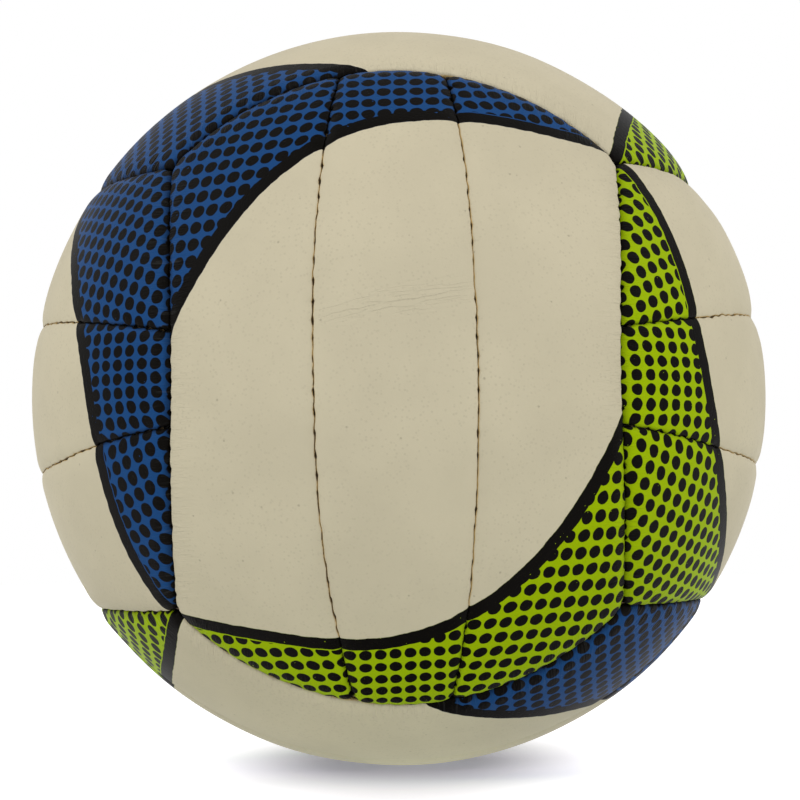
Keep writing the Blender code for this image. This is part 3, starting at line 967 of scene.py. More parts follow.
def weave_group(name):
    """A plain weave: threads that pass over and under each other."""
    inputs = (("Coordinates", "NodeSocketVector", None), ("Pitch", "NodeSocketFloat", 1.0))
    tree, given, made = new_group(name, inputs, ("Height",))
    place = separated(tree, given["Coordinates"])
    waves = []
    for axis in ("X", "Y"):
        turns = maths(tree, "DIVIDE", place[axis], given["Pitch"])
        waves.append(maths(tree, "SINE", maths(tree, "MULTIPLY", turns, math.pi)))
    over = maths(tree, "MULTIPLY", *waves)
    threads = []
    for wave, sink in zip(waves, (WEAVE_SINK, -WEAVE_SINK)):
        rounded = maths(tree, "ABSOLUTE", wave)
        level = maths(tree, "MULTIPLY_ADD", over, sink, 1 - WEAVE_SINK)
        threads.append(maths(tree, "MULTIPLY", rounded, level))
    tree.links.new(maths(tree, "MAXIMUM", *threads), made["Height"])
    return tree


def cloud_group(name):
    """Soft patches of tone, from 0 to 1."""
    inputs = (("Coordinates", "NodeSocketVector", None), ("Scale", "NodeSocketFloat", 60.0))
    tree, given, made = new_group(name, inputs, ("Tone",))
    cloud = noise(tree, given["Coordinates"], given["Scale"], detail=4.0, roughness=0.6)
    tree.links.new(smooth_step(tree, cloud, *CLOUD_RANGE), made["Tone"])
    return tree


def coated_grain(tree, place, crease_place, crease):
    """Places the grain of a coated surface and returns its outputs."""
    inputs = {"Coordinates": place, "Crease coordinates": crease_place, "Crease": crease}
    return use_group(tree, "Coated grain", grain_group, inputs)


def cloudy_tone(tree, place, scale):
    """Places the cloudy tone and returns it."""
    return use_group(tree, "Cloudy tone", cloud_group, {"Coordinates": place, "Scale": scale})["Tone"]


# Printed leather. Distances from seams, the print's sizes, the puckers and the wrinkles are in millimetres.

# The print's outlines waver, and its ink has lost some flecks
PRINT_WOBBLE = 0.25
PRINT_WOBBLE_SCALE = 900.0
PRINT_SOFTNESS = 0.10
FLECK_SCALE = 1100.0
FLECK_RANGE = (0.79, 0.81)
# How much of the mottle, pores and pits shows, and how dark they are
MOTTLE_RANGE = (0.3, 0.7)
MOTTLE_SHADE = 0.93
PORE_TINT = 0.5
PORE_SHADE = 0.82
PIT_TINT = 0.8
PIT_SHADE = 0.70
# Painted shade: the print is darkened towards the ink's black in the gutters along its seams, where shade
# falls
EDGE_GUTTER = (0.2, 2.4)
STRIP_GUTTER = (0.1, 1.3)
BLUE_GUTTER_SHADE = 0.5
GREEN_GUTTER_SHADE = 0.25
# Puckers are drawn out square to their seam, and the blue print has a pale grey painted highlight on their
# crests
PUCKER_STRETCH = 0.12
PUCKER_SCALE = 0.55
PUCKER_HEIGHT = 22.0
PUCKER_HIGHLIGHT_RANGE = (0.07, 0.2)
PUCKER_HIGHLIGHT_STRENGTH = 0.05
# Wrinkles: half their length and half the width of their band, then the make of their lines
WRINKLE_REACH = (26.0, 4.4)
WRINKLE_FADE = (0.3, 1.4)
WRINKLE_STRETCH = (0.06, 0.55, 1.0)
WRINKLE_LINE = 0.07
WRINKLE_DEPTH = 2.2
# The covers' edges inside a seam: how unevenly they show, and how far the leather turns in before they do
WALL_SCALE = 420.0
WALL_SPREAD = 1.2
WALL_LEAST = 0.4
BARE_WALL_START = 0.3
BLUE_WALL_START = 0.2
GREEN_WALL_START = 0.45
WALL_FADE = 0.3
# Patches of painted shade, in the thread's colour darkened, on one wall of each seam between strips
PAINTED_SHADE_WALL_PATCHES = (0.8, 1.1)
PAINTED_SHADE_WALL_LEVEL = 0.65
# In the print they show less between the needle holes, and more in them, in the ink's black: partly ink
# carried into the seam, partly painted shade in the seam and its needle holes
INKED_WALL_LEAST = 0.6
HOLE_INK_AND_SHADE = 0.85
LEATHER_CREASE = 0.6
LEATHER_ROUGHNESS = 0.50
PRINT_ROUGHNESS = 0.42
MOTTLE_ROUGHNESS = 0.10
LEATHER_SPECULAR = 0.03
LEATHER_SHEEN = 0.02
LEATHER_SHEEN_ROUGHNESS = 0.35
LEATHER_BUMP = 0.06 * MILLIMETRE
LEATHER_BUMP_STRENGTH = 0.9


def printed_ends(tree, place, is_green, pattern):
    """Returns the masks of the print: its ground and its ink."""
    green_dot = pattern.green_dot_diameter / 2 * IN_MILLIMETRES
    blue_dot = pattern.blue_dot_diameter / 2 * IN_MILLIMETRES
    waver = maths(tree, "SUBTRACT", noise(tree, place, PRINT_WOBBLE_SCALE), 0.5)
    return use_group(tree, "Halftone print", halftone_group, {
        "Dots": map_coordinates(tree, "dots"),
        "Border": attribute_value(tree, "border"),
        "Band width": pattern.band_width * IN_MILLIMETRES,
        "Dot radius": maths(tree, "MULTIPLY_ADD", is_green, green_dot - blue_dot, blue_dot),
        "Column pitch": pattern.column_pitch * IN_MILLIMETRES,
        "Row pitch": pattern.row_pitch * IN_MILLIMETRES,
        "Margin": attribute_value(tree, "margin"),
        "Wobble": maths(tree, "MULTIPLY", waver, PRINT_WOBBLE),
        "Softness": PRINT_SOFTNESS,
    })


def bare_leather(tree, grain, rgb):
    """Returns the colour of bare leather, darker in its mottle, pores and pits."""
    mottle = smooth_step(tree, grain["Mottle"], *MOTTLE_RANGE)
    surface = mixed(tree, mottle, opaque(rgb), shaded(rgb, MOTTLE_SHADE))
    for mark, tint, shade in (("Pores", PORE_TINT, PORE_SHADE), ("Pits", PIT_TINT, PIT_SHADE)):
        surface = mixed(tree, maths(tree, "MULTIPLY", grain[mark], tint), surface, shaded(rgb, shade))
    return surface


def inked(tree, place, bare, halftone, is_green, colours):
    """Returns the colour of the leather with the print on it."""
    tint = mixed(tree, is_green, opaque(colours.blue), opaque(colours.green))
    kept = fade_out(tree, noise(tree, place, FLECK_SCALE, detail=1.0), *FLECK_RANGE)
    ink = maths(tree, "MULTIPLY", halftone["Ink"], kept)
    surface = mixed(tree, halftone["Ground"], bare, tint)
    return mixed(tree, ink, surface, opaque(colours.ink))


def painted_gutter_shade(tree, ground, is_green, edge_distance):
    """Returns how far painted shade darkens the print, towards the ink's black, in the gutters along its
    seams.
    """
    edge_gutter = fade_out(tree, edge_distance, *EDGE_GUTTER)
    strip_gutter = fade_out(tree, attribute_value(tree, "strip_seam"), *STRIP_GUTTER)
    gutter = maths(tree, "MAXIMUM", edge_gutter, strip_gutter)
    gutter_shade = maths(tree, "MULTIPLY_ADD", is_green, GREEN_GUTTER_SHADE - BLUE_GUTTER_SHADE, BLUE_GUTTER_SHADE)
    return maths(tree, "MULTIPLY", maths(tree, "MULTIPLY", gutter, gutter_shade), ground)


def pucker_crests(tree, edge_along, edge_distance):
    """Returns the crests of the puckers that run in from the seams between faces."""
    drawn_out = maths(tree, "MULTIPLY", edge_distance, PUCKER_STRETCH)
    drawn = add_node(tree, "ShaderNodeCombineXYZ", {"X": edge_along, "Y": drawn_out}).outputs["Vector"]
    crests = ridges(tree, noise(tree, drawn, PUCKER_SCALE, detail=3.0, roughness=0.6))
    return maths(tree, "MULTIPLY", crests, attribute_value(tree, "pucker"))


def painted_pucker_highlights(tree, ground, is_green, puckers):
    """Returns how far a pale grey painted highlight lies on the crests of the blue print's puckers."""
    lit_crests = maths(tree, "MULTIPLY", smooth_step(tree, puckers, *PUCKER_HIGHLIGHT_RANGE), PUCKER_HIGHLIGHT_STRENGTH)
    blue_ground = maths(tree, "SUBTRACT", ground, is_green)
    return maths(tree, "MAXIMUM", maths(tree, "MULTIPLY", blue_ground, lit_crests), 0.0)


def seam_walls(tree, place, ground, is_green, colours):
    """Returns how far the covers' edges inside the seams show, and their colour, with painted shade on one
    wall of each seam between strips and in the print's seams and needle holes.
    """
    uneven = maths(tree, "MULTIPLY_ADD", noise(tree, place, WALL_SCALE), WALL_SPREAD, WALL_LEAST)
    bare_walls = maths(tree, "MULTIPLY", attribute_value(tree, "crease"), uneven)
    # In the print the walls and needle holes take the ink's black: partly ink, partly painted shade in the
    # seam
    hole = attribute_value(tree, "hole")
    shown = maths(tree, "MULTIPLY_ADD", hole, 1 - INKED_WALL_LEAST, INKED_WALL_LEAST)
    ink_and_shade_walls = maths(tree, "MULTIPLY_ADD", hole, HOLE_INK_AND_SHADE, maths(tree, "MULTIPLY", bare_walls, shown))
    turned_in = mixed_values(tree, ground, bare_walls, ink_and_shade_walls)
    later = maths(
        tree, "MULTIPLY_ADD", is_green, GREEN_WALL_START - BLUE_WALL_START, BLUE_WALL_START - BARE_WALL_START
    )
    start = maths(tree, "MULTIPLY_ADD", ground, later, BARE_WALL_START)
    inside = smooth_step(tree, turned_in, start, maths(tree, "ADD", start, WALL_FADE))
    # Painted shade on one wall of each seam between strips, in patches
    patches = smooth_step(tree, uneven, *PAINTED_SHADE_WALL_PATCHES)
    dark_wall = maths(tree, "MULTIPLY", attribute_value(tree, "dark_wall"), patches)
    bare = mixed(tree, dark_wall, opaque(colours.crease), shaded(colours.thread, PAINTED_SHADE_WALL_LEVEL))
    return inside, mixed(tree, ground, bare, opaque(colours.ink))


def wrinkles(tree):
    """Returns the lines of the wrinkles across one cover, which fade out at their ends."""
    flat = map_coordinates(tree, "wrinkles")
    reach = vector_length(tree, mapped(tree, flat, Scale=(1 / WRINKLE_REACH[0], 1 / WRINKLE_REACH[1], 0)))
    waves = noise(tree, mapped(tree, flat, Scale=WRINKLE_STRETCH), 1.0, detail=1.0)
    lines = fade_out(tree, ridges(tree, waves), 0.0, WRINKLE_LINE)
    return maths(tree, "MULTIPLY", lines, fade_out(tree, reach, *WRINKLE_FADE))


def printed_leather(colours, pattern):
    """The covers: coated leather, bare in the middle of the ball and printed at the strips' ends."""
    made, tree, shader = new_material("printed_leather")
    place = object_coordinates(tree)
    is_green = attribute_value(tree, "green")
    edge_seam = separated(tree, map_coordinates(tree, "edge_seam"))
    halftone = printed_ends(tree, place, is_green, pattern)
    ground = halftone["Ground"]
    grain = coated_grain(tree, place, map_coordinates(tree, "strip"), LEATHER_CREASE)
    puckers = pucker_crests(tree, edge_seam["X"], edge_seam["Y"])
    bare = bare_leather(tree, grain, colours.leather)
    surface = inked(tree, place, bare, halftone, is_green, colours)
    # Painted shade darkens the print in the gutters along its seams
    gutter_shade = painted_gutter_shade(tree, ground, is_green, edge_seam["Y"])
    surface = mixed(tree, gutter_shade, surface, opaque(colours.ink))
    # Painted highlight on the crests of the blue print's puckers
    surface = mixed(tree, painted_pucker_highlights(tree, ground, is_green, puckers), surface, opaque(colours.pucker_highlight))
    # Cut edges inside the seams, with painted shade on one wall and in the print's seams and needle holes
    inside, walls = seam_walls(tree, place, ground, is_green, colours)
    tree.links.new(mixed(tree, inside, surface, walls), shader.inputs["Base Color"])
    rough = maths(tree, "MULTIPLY_ADD", ground, PRINT_ROUGHNESS - LEATHER_ROUGHNESS, LEATHER_ROUGHNESS)
    rough = maths(tree, "MULTIPLY_ADD", grain["Mottle"], MOTTLE_ROUGHNESS, rough)
    tree.links.new(rough, shader.inputs["Roughness"])
    shader.inputs["Specular IOR Level"].default_value = LEATHER_SPECULAR
    shader.inputs["Sheen Weight"].default_value = LEATHER_SHEEN
    shader.inputs["Sheen Roughness"].default_value = LEATHER_SHEEN_ROUGHNESS
    height = maths(tree, "MULTIPLY_ADD", puckers, PUCKER_HEIGHT, grain["Height"])
    height = maths(tree, "MULTIPLY_ADD", wrinkles(tree), -WRINKLE_DEPTH, height)
    set_bump(tree, shader, height, LEATHER_BUMP, LEATHER_BUMP_STRENGTH)
    return made


# Cloth, thread and rubber

# The weave's pitch is in millimetres
WEAVE_PITCH = 0.55
CLOTH_CLOUD_SCALE = 60.0
CLOTH_CLOUD_SHARE = 0.3
CLOTH_SHADE = 0.55
CLOTH_ROUGHNESS = 0.85
CLOTH_ROUGHNESS_SPREAD = 0.1
CLOTH_SHEEN = 0.2
CLOTH_BUMP = 0.12 * MILLIMETRE
THREAD_CLOUD_SCALE = 400.0
THREAD_CLOUD_SHARE = 0.5
THREAD_FIBRES = (3800.0, 3800.0, 1500.0)
THREAD_SHADE = 0.45
THREAD_ROUGHNESS = 0.45
THREAD_ROUGHNESS_SPREAD = 0.2
THREAD_BUMP = 0.08 * MILLIMETRE
RUBBER_CLOUD_SCALE = 90.0
RUBBER_CREASE = 0.2
BLOOM_LEVEL = 0.4
BLOOM_SHARE = 0.25
RUBBER_PIT_TINT = 0.5
RUBBER_PIT_SHADE = 0.5
RUBBER_ROUGHNESS_SPREAD = 0.15
RUBBER_ROUGHNESS_DROP = 0.05
RUBBER_SPECULAR = 0.3
RUBBER_BUMP = 0.03 * MILLIMETRE
RUBBER_BUMP_STRENGTH = 0.6
BLADDER_ROUGHNESS = 0.62
SLEEVE_ROUGHNESS = 0.5
CORE_ROUGHNESS = 0.55


def woven_cloth(name, rgb, weave_map):
    """A plain weave, laid along a map on the piece or square to the valve's axis."""
    made, tree, shader = new_material(name)
    place = object_coordinates(tree)
    if weave_map:
        flat = map_coordinates(tree, weave_map)
    else:
        flat = mapped(tree, place, Rotation=(math.pi / 2, 0, 0), Scale=(IN_MILLIMETRES,) * 3)
    inputs = {"Coordinates": flat, "Pitch": WEAVE_PITCH}
    weave = use_group(tree, "Plain weave", weave_group, inputs)["Height"]
    cloud = cloudy_tone(tree, place, CLOTH_CLOUD_SCALE)
    # Painted shade where the weave's threads sink, mixed with random patches of tone
    tone = maths(tree, "MULTIPLY", weave, 1 - CLOTH_CLOUD_SHARE)
    tone = maths(tree, "MULTIPLY_ADD", cloud, CLOTH_CLOUD_SHARE, tone)
    tree.links.new(mixed(tree, tone, shaded(rgb, CLOTH_SHADE), opaque(rgb)), shader.inputs["Base Color"])
    rough = maths(tree, "MULTIPLY_ADD", cloud, CLOTH_ROUGHNESS_SPREAD, CLOTH_ROUGHNESS)
    tree.links.new(rough, shader.inputs["Roughness"])
    shader.inputs["Sheen Weight"].default_value = CLOTH_SHEEN
    set_bump(tree, shader, weave, CLOTH_BUMP)
    return made


def waxed_thread(rgb):
    """Twisted thread, darker where wax and dirt have gathered."""
    made, tree, shader = new_material("waxed_thread")
    place = object_coordinates(tree)
    cloud = cloudy_tone(tree, place, THREAD_CLOUD_SCALE)
    fibres = noise(tree, mapped(tree, place, Scale=THREAD_FIBRES), 1.0)
    tone = maths(tree, "MULTIPLY", cloud, THREAD_CLOUD_SHARE)
    tone = maths(tree, "MULTIPLY_ADD", fibres, 1 - THREAD_CLOUD_SHARE, tone)
    tree.links.new(mixed(tree, tone, shaded(rgb, THREAD_SHADE), opaque(rgb)), shader.inputs["Base Color"])
    rough = maths(tree, "MULTIPLY_ADD", cloud, THREAD_ROUGHNESS_SPREAD, THREAD_ROUGHNESS)
    tree.links.new(rough, shader.inputs["Roughness"])
    set_bump(tree, shader, fibres, THREAD_BUMP)
    return made


def moulded_rubber(name, rgb, roughness):
    """Matt rubber with a pale bloom and a fine moulded skin."""
    made, tree, shader = new_material(name)
    place = object_coordinates(tree)
    cloud = cloudy_tone(tree, place, RUBBER_CLOUD_SCALE)
    grain = coated_grain(tree, place, mapped(tree, place, Scale=(IN_MILLIMETRES,) * 3), RUBBER_CREASE)
    bloom = tuple((1 - BLOOM_SHARE) * channel + BLOOM_SHARE * BLOOM_LEVEL for channel in rgb)
    surface = mixed(tree, cloud, opaque(rgb), opaque(bloom))
    pits = maths(tree, "MULTIPLY", grain["Pits"], RUBBER_PIT_TINT)
    surface = mixed(tree, pits, surface, shaded(rgb, RUBBER_PIT_SHADE))
    tree.links.new(surface, shader.inputs["Base Color"])
    rough = maths(tree, "MULTIPLY_ADD", cloud, RUBBER_ROUGHNESS_SPREAD, roughness - RUBBER_ROUGHNESS_DROP)
    tree.links.new(rough, shader.inputs["Roughness"])
    shader.inputs["Specular IOR Level"].default_value = RUBBER_SPECULAR
    set_bump(tree, shader, grain["Height"], RUBBER_BUMP, RUBBER_BUMP_STRENGTH)
    return made


# Pieces


def add_piece(name, data, slot, *nodes):
    """Adds an object for a finished mesh or curve that stands for the named solids."""
    piece = bpy.data.objects.new(name, data)
    bpy.context.scene.collection.objects.link(piece)
    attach(piece, "root")
    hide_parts(*nodes)
    return piece


class VOLLEYBALL_OT_covers(bpy.types.Operator):
    """Adds the eighteen printed covers"""

    bl_idname = "volleyball.add_covers"
    bl_label = "Covers"

    def execute(self, context):
        scene = context.scene
        sizes = scene.volleyball_sizes
        pattern = scene.volleyball_print
        finish = printed_leather(scene.volleyball_colours, pattern)
        rings = cover_rings(sizes)
        hole = sizes.sleeve_radius + VALVE_CLEARANCE
        for strip, mesh, shape in strip_meshes("_cover", finish, COVER_FACETS, rings, hole, sizes):
            lay_print(strip, mesh, *shape, sizes, pattern)
            add_piece(mesh.name, mesh, "cover_leather", strip.name + "_panel")
        return {"FINISHED"}


class VOLLEYBALL_OT_linings(bpy.types.Operator):
    """Adds the cloth linings behind the covers"""

    bl_idname = "volleyball.add_linings"
    bl_label = "Linings"

    def execute(self, context):
        scene = context.scene
        sizes = scene.volleyball_sizes
        finish = woven_cloth("lining_cloth", scene.volleyball_colours.lining, "weave")
        rings = lining_rings(sizes)
        hole = PATCH_RADIUS + LINING_CLEARANCE
        for strip, mesh, shape in strip_meshes("_lining_cloth", finish, LINING_FACETS, rings, hole, sizes):
            directions, *_ = shape
            across, along = flattened(directions, 0.0, sizes.radius)
            add_map(mesh, "weave", across * IN_MILLIMETRES, along * IN_MILLIMETRES)
            add_piece(mesh.name, mesh, "lining_cloth", strip.name + "_lining")
        return {"FINISHED"}


# Stitching. A thread lies below the covers' shoulders: high in each needle hole and low between two.
STITCH_HIGH = 0.0012
STITCH_LOW = 0.0017
STITCH_SWAY = 0.0002
THREAD_STOP = 0.0036
# Three cube edges that one thread sews: the axis it runs along, the axis square to its plane and the free
# axis, then the sides of the ball that the last two lie on
SEWN_EDGES = ((0, 1, 2, -1, -1), (1, 2, 0, -1, 1), (2, 0, 1, 1, 1))
EDGE_REACH = math.pi / 4


def stitched(directions, along, sideways, foot, sizes):
    """Returns a thread's points along a seam, whose covers have their shoulders' feet at the given depth."""
    phase = stitch_phase(along, directions * sizes.radius, sizes.stitch_pitch)
    depth = foot + STITCH_LOW - (STITCH_LOW - STITCH_HIGH) * (0.5 + 0.5 * np.cos(phase))
    depth += dents(directions * sizes.radius)
    sway = STITCH_SWAY * np.sin(phase)
    return warped(directions * (sizes.radius - depth)[:, None] + sideways * sway[:, None])


def strip_stitching(strip, sizes):
    """Returns the points of the thread along an outer strip's inner seam."""
    seam = strip_seam(sizes)
    end_n, _ = moved(EDGE_SEAM, THREAD_STOP, sizes.radius)
    reach = end_angle(seam, end_n)
    steps = round(2 * reach * sizes.radius / sizes.stitch_pitch * STITCH_STEPS)
    angles = np.linspace(-reach, reach, steps)
    directions = along_plane(seam, np.sin(angles)) @ strip.turn.T
    sideways = np.array((1, 0, -seam[1])) / math.hypot(1, seam[1]) @ strip.turn.T
    v_way = strip.turn.sum(axis=0)[1]
    foot = sizes.strip_drop + sizes.strip_shoulder
    return stitched(directions, v_way * angles * sizes.radius, sideways, foot, sizes)


def edge_stitching(sides, sizes):
    """Returns the points of a thread along three cube edges, on the given sides of the ball's three axes."""
    arc = sizes.radius * EDGE_CIRCLE
    steps = round(2 * EDGE_REACH * arc / sizes.stitch_pitch * STITCH_STEPS)
    runs = []
    for place, (run, plane, free, plane_side, free_side) in enumerate(SEWN_EDGES):
        start = -EDGE_REACH + (THREAD_STOP / arc if place == 0 else 0)
        finish = EDGE_REACH - (THREAD_STOP / arc if place == len(SEWN_EDGES) - 1 else 0)
        angles = np.linspace(start, finish, steps)
        directions = np.empty((steps, 3))
        directions[:, run] = EDGE_CIRCLE * np.sin(angles)
        directions[:, plane] = CUBE_CORNER * plane_side
        directions[:, free] = EDGE_CIRCLE * np.cos(angles) * free_side
        foot = sizes.edge_drop + sizes.edge_shoulder
        sideways = np.eye(3)[plane]
        points = stitched(directions * sides, sides[run] * angles * arc, sideways, foot, sizes)
        runs.append(points[1:] if runs else points)
    return np.concatenate(runs)


def thread_curve(name, points, diameter, finish):
    """Returns a round thread through the points, with closed ends."""
    curve = bpy.data.curves.new(name, "CURVE")
    curve.dimensions = "3D"
    curve.bevel_depth = diameter / 2
    curve.bevel_resolution = THREAD_RESOLUTION
    curve.use_fill_caps = True
    curve.materials.append(finish)
    run = curve.splines.new("POLY")
    run.points.add(len(points) - 1)
    run.points.foreach_set("co", np.column_stack((points, np.ones(len(points)))).ravel())
    return curve


class VOLLEYBALL_OT_stitching(bpy.types.Operator):
    """Adds the threads between the strips and the four threads along the cube's edges"""

    bl_idname = "volleyball.add_stitching"
    bl_label = "Stitching"

    def execute(self, context):
        scene = context.scene
        sizes = scene.volleyball_sizes
        finish = waxed_thread(scene.volleyball_colours.thread)
        runs = {strip.name: strip_stitching(strip, sizes) for strip in strips() if strip.role}
        edge_sides = {"first": (1, 1, 1), "second": (1, -1, -1), "third": (-1, 1, -1), "fourth": (-1, -1, 1)}
        for name, sides in edge_sides.items():
            runs[name + "_edge"] = edge_stitching(np.array(sides), sizes)
        for name, points in runs.items():
            curve = thread_curve(name + "_stitching", points, sizes.thread_diameter, finish)
            add_piece(curve.name, curve, "sewing_thread", name + "_seam_thread")
        return {"FINISHED"}


# Bladder and valve, turned about the axis through the middle of the back face


def turned(name, profile, closed, rounding, finish):
    """Returns a mesh turned about the valve's axis from a profile of radii and heights."""
    outline = bmesh.new()
    verts = [outline.verts.new((radius, 0, height)) for radius, height in profile]
    for first, second in zip(verts, verts[1:]):
        outline.edges.new((first, second))
    if closed:
        outline.edges.new((verts[-1], verts[0]))
    bmesh.ops.spin(
        outline, geom=[*outline.verts, *outline.edges], cent=(0, 0, 0), axis=(0, 0, 1),
        angle=2 * math.pi, steps=TURN_STEPS, use_merge=True,
    )
    bmesh.ops.remove_doubles(outline, verts=outline.verts, dist=MERGE_DISTANCE)
    bmesh.ops.recalc_face_normals(outline, faces=outline.faces)
    sharp = [edge for edge in outline.edges if edge.calc_face_angle(0) > SHARP_ANGLE]
    bmesh.ops.bevel(
        outline, geom=sharp, offset=rounding, segments=ROUNDING_STEPS, profile=0.5,
        affect="EDGES", material=-1,
    )
    u, v, n, _ = FACES[VALVE_FACE]
    bmesh.ops.transform(outline, matrix=Matrix((u, v, n)).transposed().to_4x4(), verts=outline.verts)
    mesh = bpy.data.meshes.new(name)
    outline.to_mesh(mesh)
    outline.free()
    mesh.materials.append(finish)
    mesh.shade_smooth()
    return mesh


def dome(radius, reaches):
    """Returns the points of a ball's surface at the given distances from the valve's axis."""
    return [(reach, math.sqrt(radius**2 - reach**2)) for reach in reaches]


class VOLLEYBALL_OT_bladder(bpy.types.Operator):
    """Adds the rubber bladder, open at the mouth that holds the valve"""

    bl_idname = "volleyball.add_bladder"
    bl_label = "Bladder"

    def execute(self, context):
        scene = context.scene
        inner_radius = BLADDER_RADIUS - scene.volleyball_sizes.bladder_wall
        mouth = math.asin(BLADDER_MOUTH_RADIUS / BLADDER_RADIUS)
        angles = np.linspace(math.pi, mouth, BLADDER_ROWS + 1)
        inner = np.column_stack((np.sin(angles), np.cos(angles))) * inner_radius
        outer = np.column_stack((np.sin(angles), np.cos(angles))) * BLADDER_RADIUS
        inner[0, 0] = outer[0, 0] = 0
        inner[-1, 0] = BLADDER_MOUTH_RADIUS
        profile = [*inner.tolist(), *outer[::-1].tolist()]
        finish = moulded_rubber("bladder_rubber", scene.volleyball_colours.bladder, BLADDER_ROUGHNESS)
        mesh = turned("bladder_skin", profile, False, RUBBER_ROUNDING, finish)
        add_piece(mesh.name, mesh, "bladder_rubber", "bladder")
        return {"FINISHED"}


class VOLLEYBALL_OT_valve(bpy.types.Operator):
    """Adds the valve: its sleeve, its core and the cloth patch round it"""

    bl_idname = "volleyball.add_valve"
    bl_label = "Valve"

    def execute(self, context):
        scene = context.scene
        sizes = scene.volleyball_sizes
        colours = scene.volleyball_colours
        bore = sizes.core_radius + VALVE_CLEARANCE
        flange_bottom = FLANGE_TOP - FLANGE_THICKNESS
        stem = sizes.sleeve_radius
        sleeve = [
            (bore, SLEEVE_BOTTOM),
            (bore, SLEEVE_TOP - SLEEVE_LIP),
            (bore + SLEEVE_LIP, SLEEVE_TOP),
            (stem, SLEEVE_TOP),
            (stem, FLANGE_TOP),
            (FLANGE_RADIUS, FLANGE_TOP),
            (FLANGE_RADIUS, flange_bottom),
            (stem, flange_bottom),
            (stem, SLEEVE_BOTTOM),
        ]
        finish = moulded_rubber("valve_rubber", colours.valve, SLEEVE_ROUGHNESS)
        mesh = turned("valve_sleeve_rubber", sleeve, True, RUBBER_ROUNDING, finish)
        add_piece(mesh.name, mesh, "valve_rubber", "valve_sleeve")
        needle = sizes.needle_diameter / 2
        core = [
            (0.0, CORE_TOP - NEEDLE_MOUTH_DEPTH),
            (needle / NEEDLE_MOUTH_TAPER, CORE_TOP - NEEDLE_MOUTH_DEPTH),
            (needle, CORE_TOP),
            (sizes.core_radius, CORE_TOP),
            (sizes.core_radius, SLEEVE_BOTTOM - VALVE_CLEARANCE),
            (CORE_BULB_RADIUS, SLEEVE_BOTTOM - VALVE_CLEARANCE),
            (sizes.core_radius, CORE_BOTTOM),
            (0.0, CORE_BOTTOM),
        ]
        finish = moulded_rubber("valve_core_rubber", colours.core, CORE_ROUGHNESS)
        mesh = turned("valve_core_rubber", core, False, CORE_ROUNDING, finish)
        add_piece(mesh.name, mesh, "valve_core_rubber", "valve_core")
        reaches = np.linspace(stem + VALVE_CLEARANCE, PATCH_RADIUS, PATCH_ROWS)
        top = sizes.radius - sizes.cover_thickness - VALVE_DIMPLE_DEPTH - LINING_CLEARANCE
        patch = dome(top, reaches) + dome(top - sizes.lining_thickness, reaches[::-1])
        finish = woven_cloth("valve_patch_cloth", colours.patch, None)
        mesh = turned("valve_patch_cloth", patch, True, CORE_ROUNDING, finish)
        add_piece(mesh.name, mesh, "valve_patch_cloth", "valve_patch")
        return {"FINISHED"}


# Stage

# The camera's distance in radii of the ball, and the pitch, roll and yaw of the ball before it
CAMERA_DISTANCE = 8.4
CAMERA_TURN = (math.radians(-3.30), math.radians(-0.80), math.radians(-0.43))
SENSOR_WIDTH = 36
CLIP_START = 0.01
# The photograph's side and the ball's middle in it, in pixels
PHOTO_SIDE = 800
PHOTO_CENTRE = (398.8, 398.6)
LIGHT_SIZE = 1.0
LEFT_LIGHT_PLACE = (-1.37, -0.37, 1.11)
RIGHT_LIGHT_PLACE = (1.37, -0.37, 1.11)
FRONT_LIGHT_PLACE = (0.0, -1.75, 0.40)
WHITE = (1.0, 1.0, 1.0, 1.0)
FLOOR_SIZE = 60.0
# The floor as the camera sees it: grey under the ball, where a painted tint turns its shadow grey, and
# fading to plain white away from its shadow
FLOOR_NEAR_COLOUR = (0.77, 0.79, 1.15, 1.0)
FLOOR_FAR_COLOUR = (0.89, 0.87, 0.90, 1.0)
FLOOR_WHITE_GLOW = 0.8
FLOOR_WHITE_REACH = (0.018, 0.072)
FLOOR_WHITE_SHAPE = (1.0, 0.2, 1.0)
FLOOR_WHITE_SHIFT = (0.0, -0.010, 0.0)
# A glow that the floor gives off towards the ball, though it is no lamp, standing in for light bounced from
# the floor; more of it close under the ball
FLOOR_BOUNCE_GLOW = 0.06
FLOOR_BOUNCE_GLOW_COLOUR = (0.93, 1.04, 1.13, 1.0)
CONTACT_BOUNCE_GLOW = 0.46
CONTACT_REACH = 0.060


def look_at(thing, target):
    thing.rotation_euler = (Vector(target) - thing.location).to_track_quat("-Z", "Y").to_euler()


def add_camera(scene, settings, radius):
    data = bpy.data.cameras.new("camera")
    data.lens = settings.lens
    data.sensor_width = SENSOR_WIDTH
    data.shift_x = (PHOTO_SIDE / 2 - PHOTO_CENTRE[0]) / PHOTO_SIDE
    data.shift_y = (PHOTO_CENTRE[1] - PHOTO_SIDE / 2) / PHOTO_SIDE
    data.clip_start = CLIP_START
    camera = bpy.data.objects.new("camera", data)
    scene.collection.objects.link(camera)
    pitch, roll, yaw = CAMERA_TURN
    turn = Matrix.Rotation(roll, 3, "Y") @ Matrix.Rotation(pitch, 3, "X") @ Matrix.Rotation(yaw, 3, "Z")
    right, forward, up = (Vector(row) for row in turn)
    placed = Matrix((right, up, -forward)).transposed().to_4x4()
    placed.translation = -forward * CAMERA_DISTANCE * radius
    camera.matrix_world = placed
    scene.camera = camera


def add_soft_light(scene, name, power, place):
    data = bpy.data.lights.new(name, "AREA")
    data.energy = power
    data.shape = "SQUARE"
    data.size = LIGHT_SIZE
    light = bpy.data.objects.new(name, data)
    scene.collection.objects.link(light)
    light.location = place
    look_at(light, (0, 0, 0))


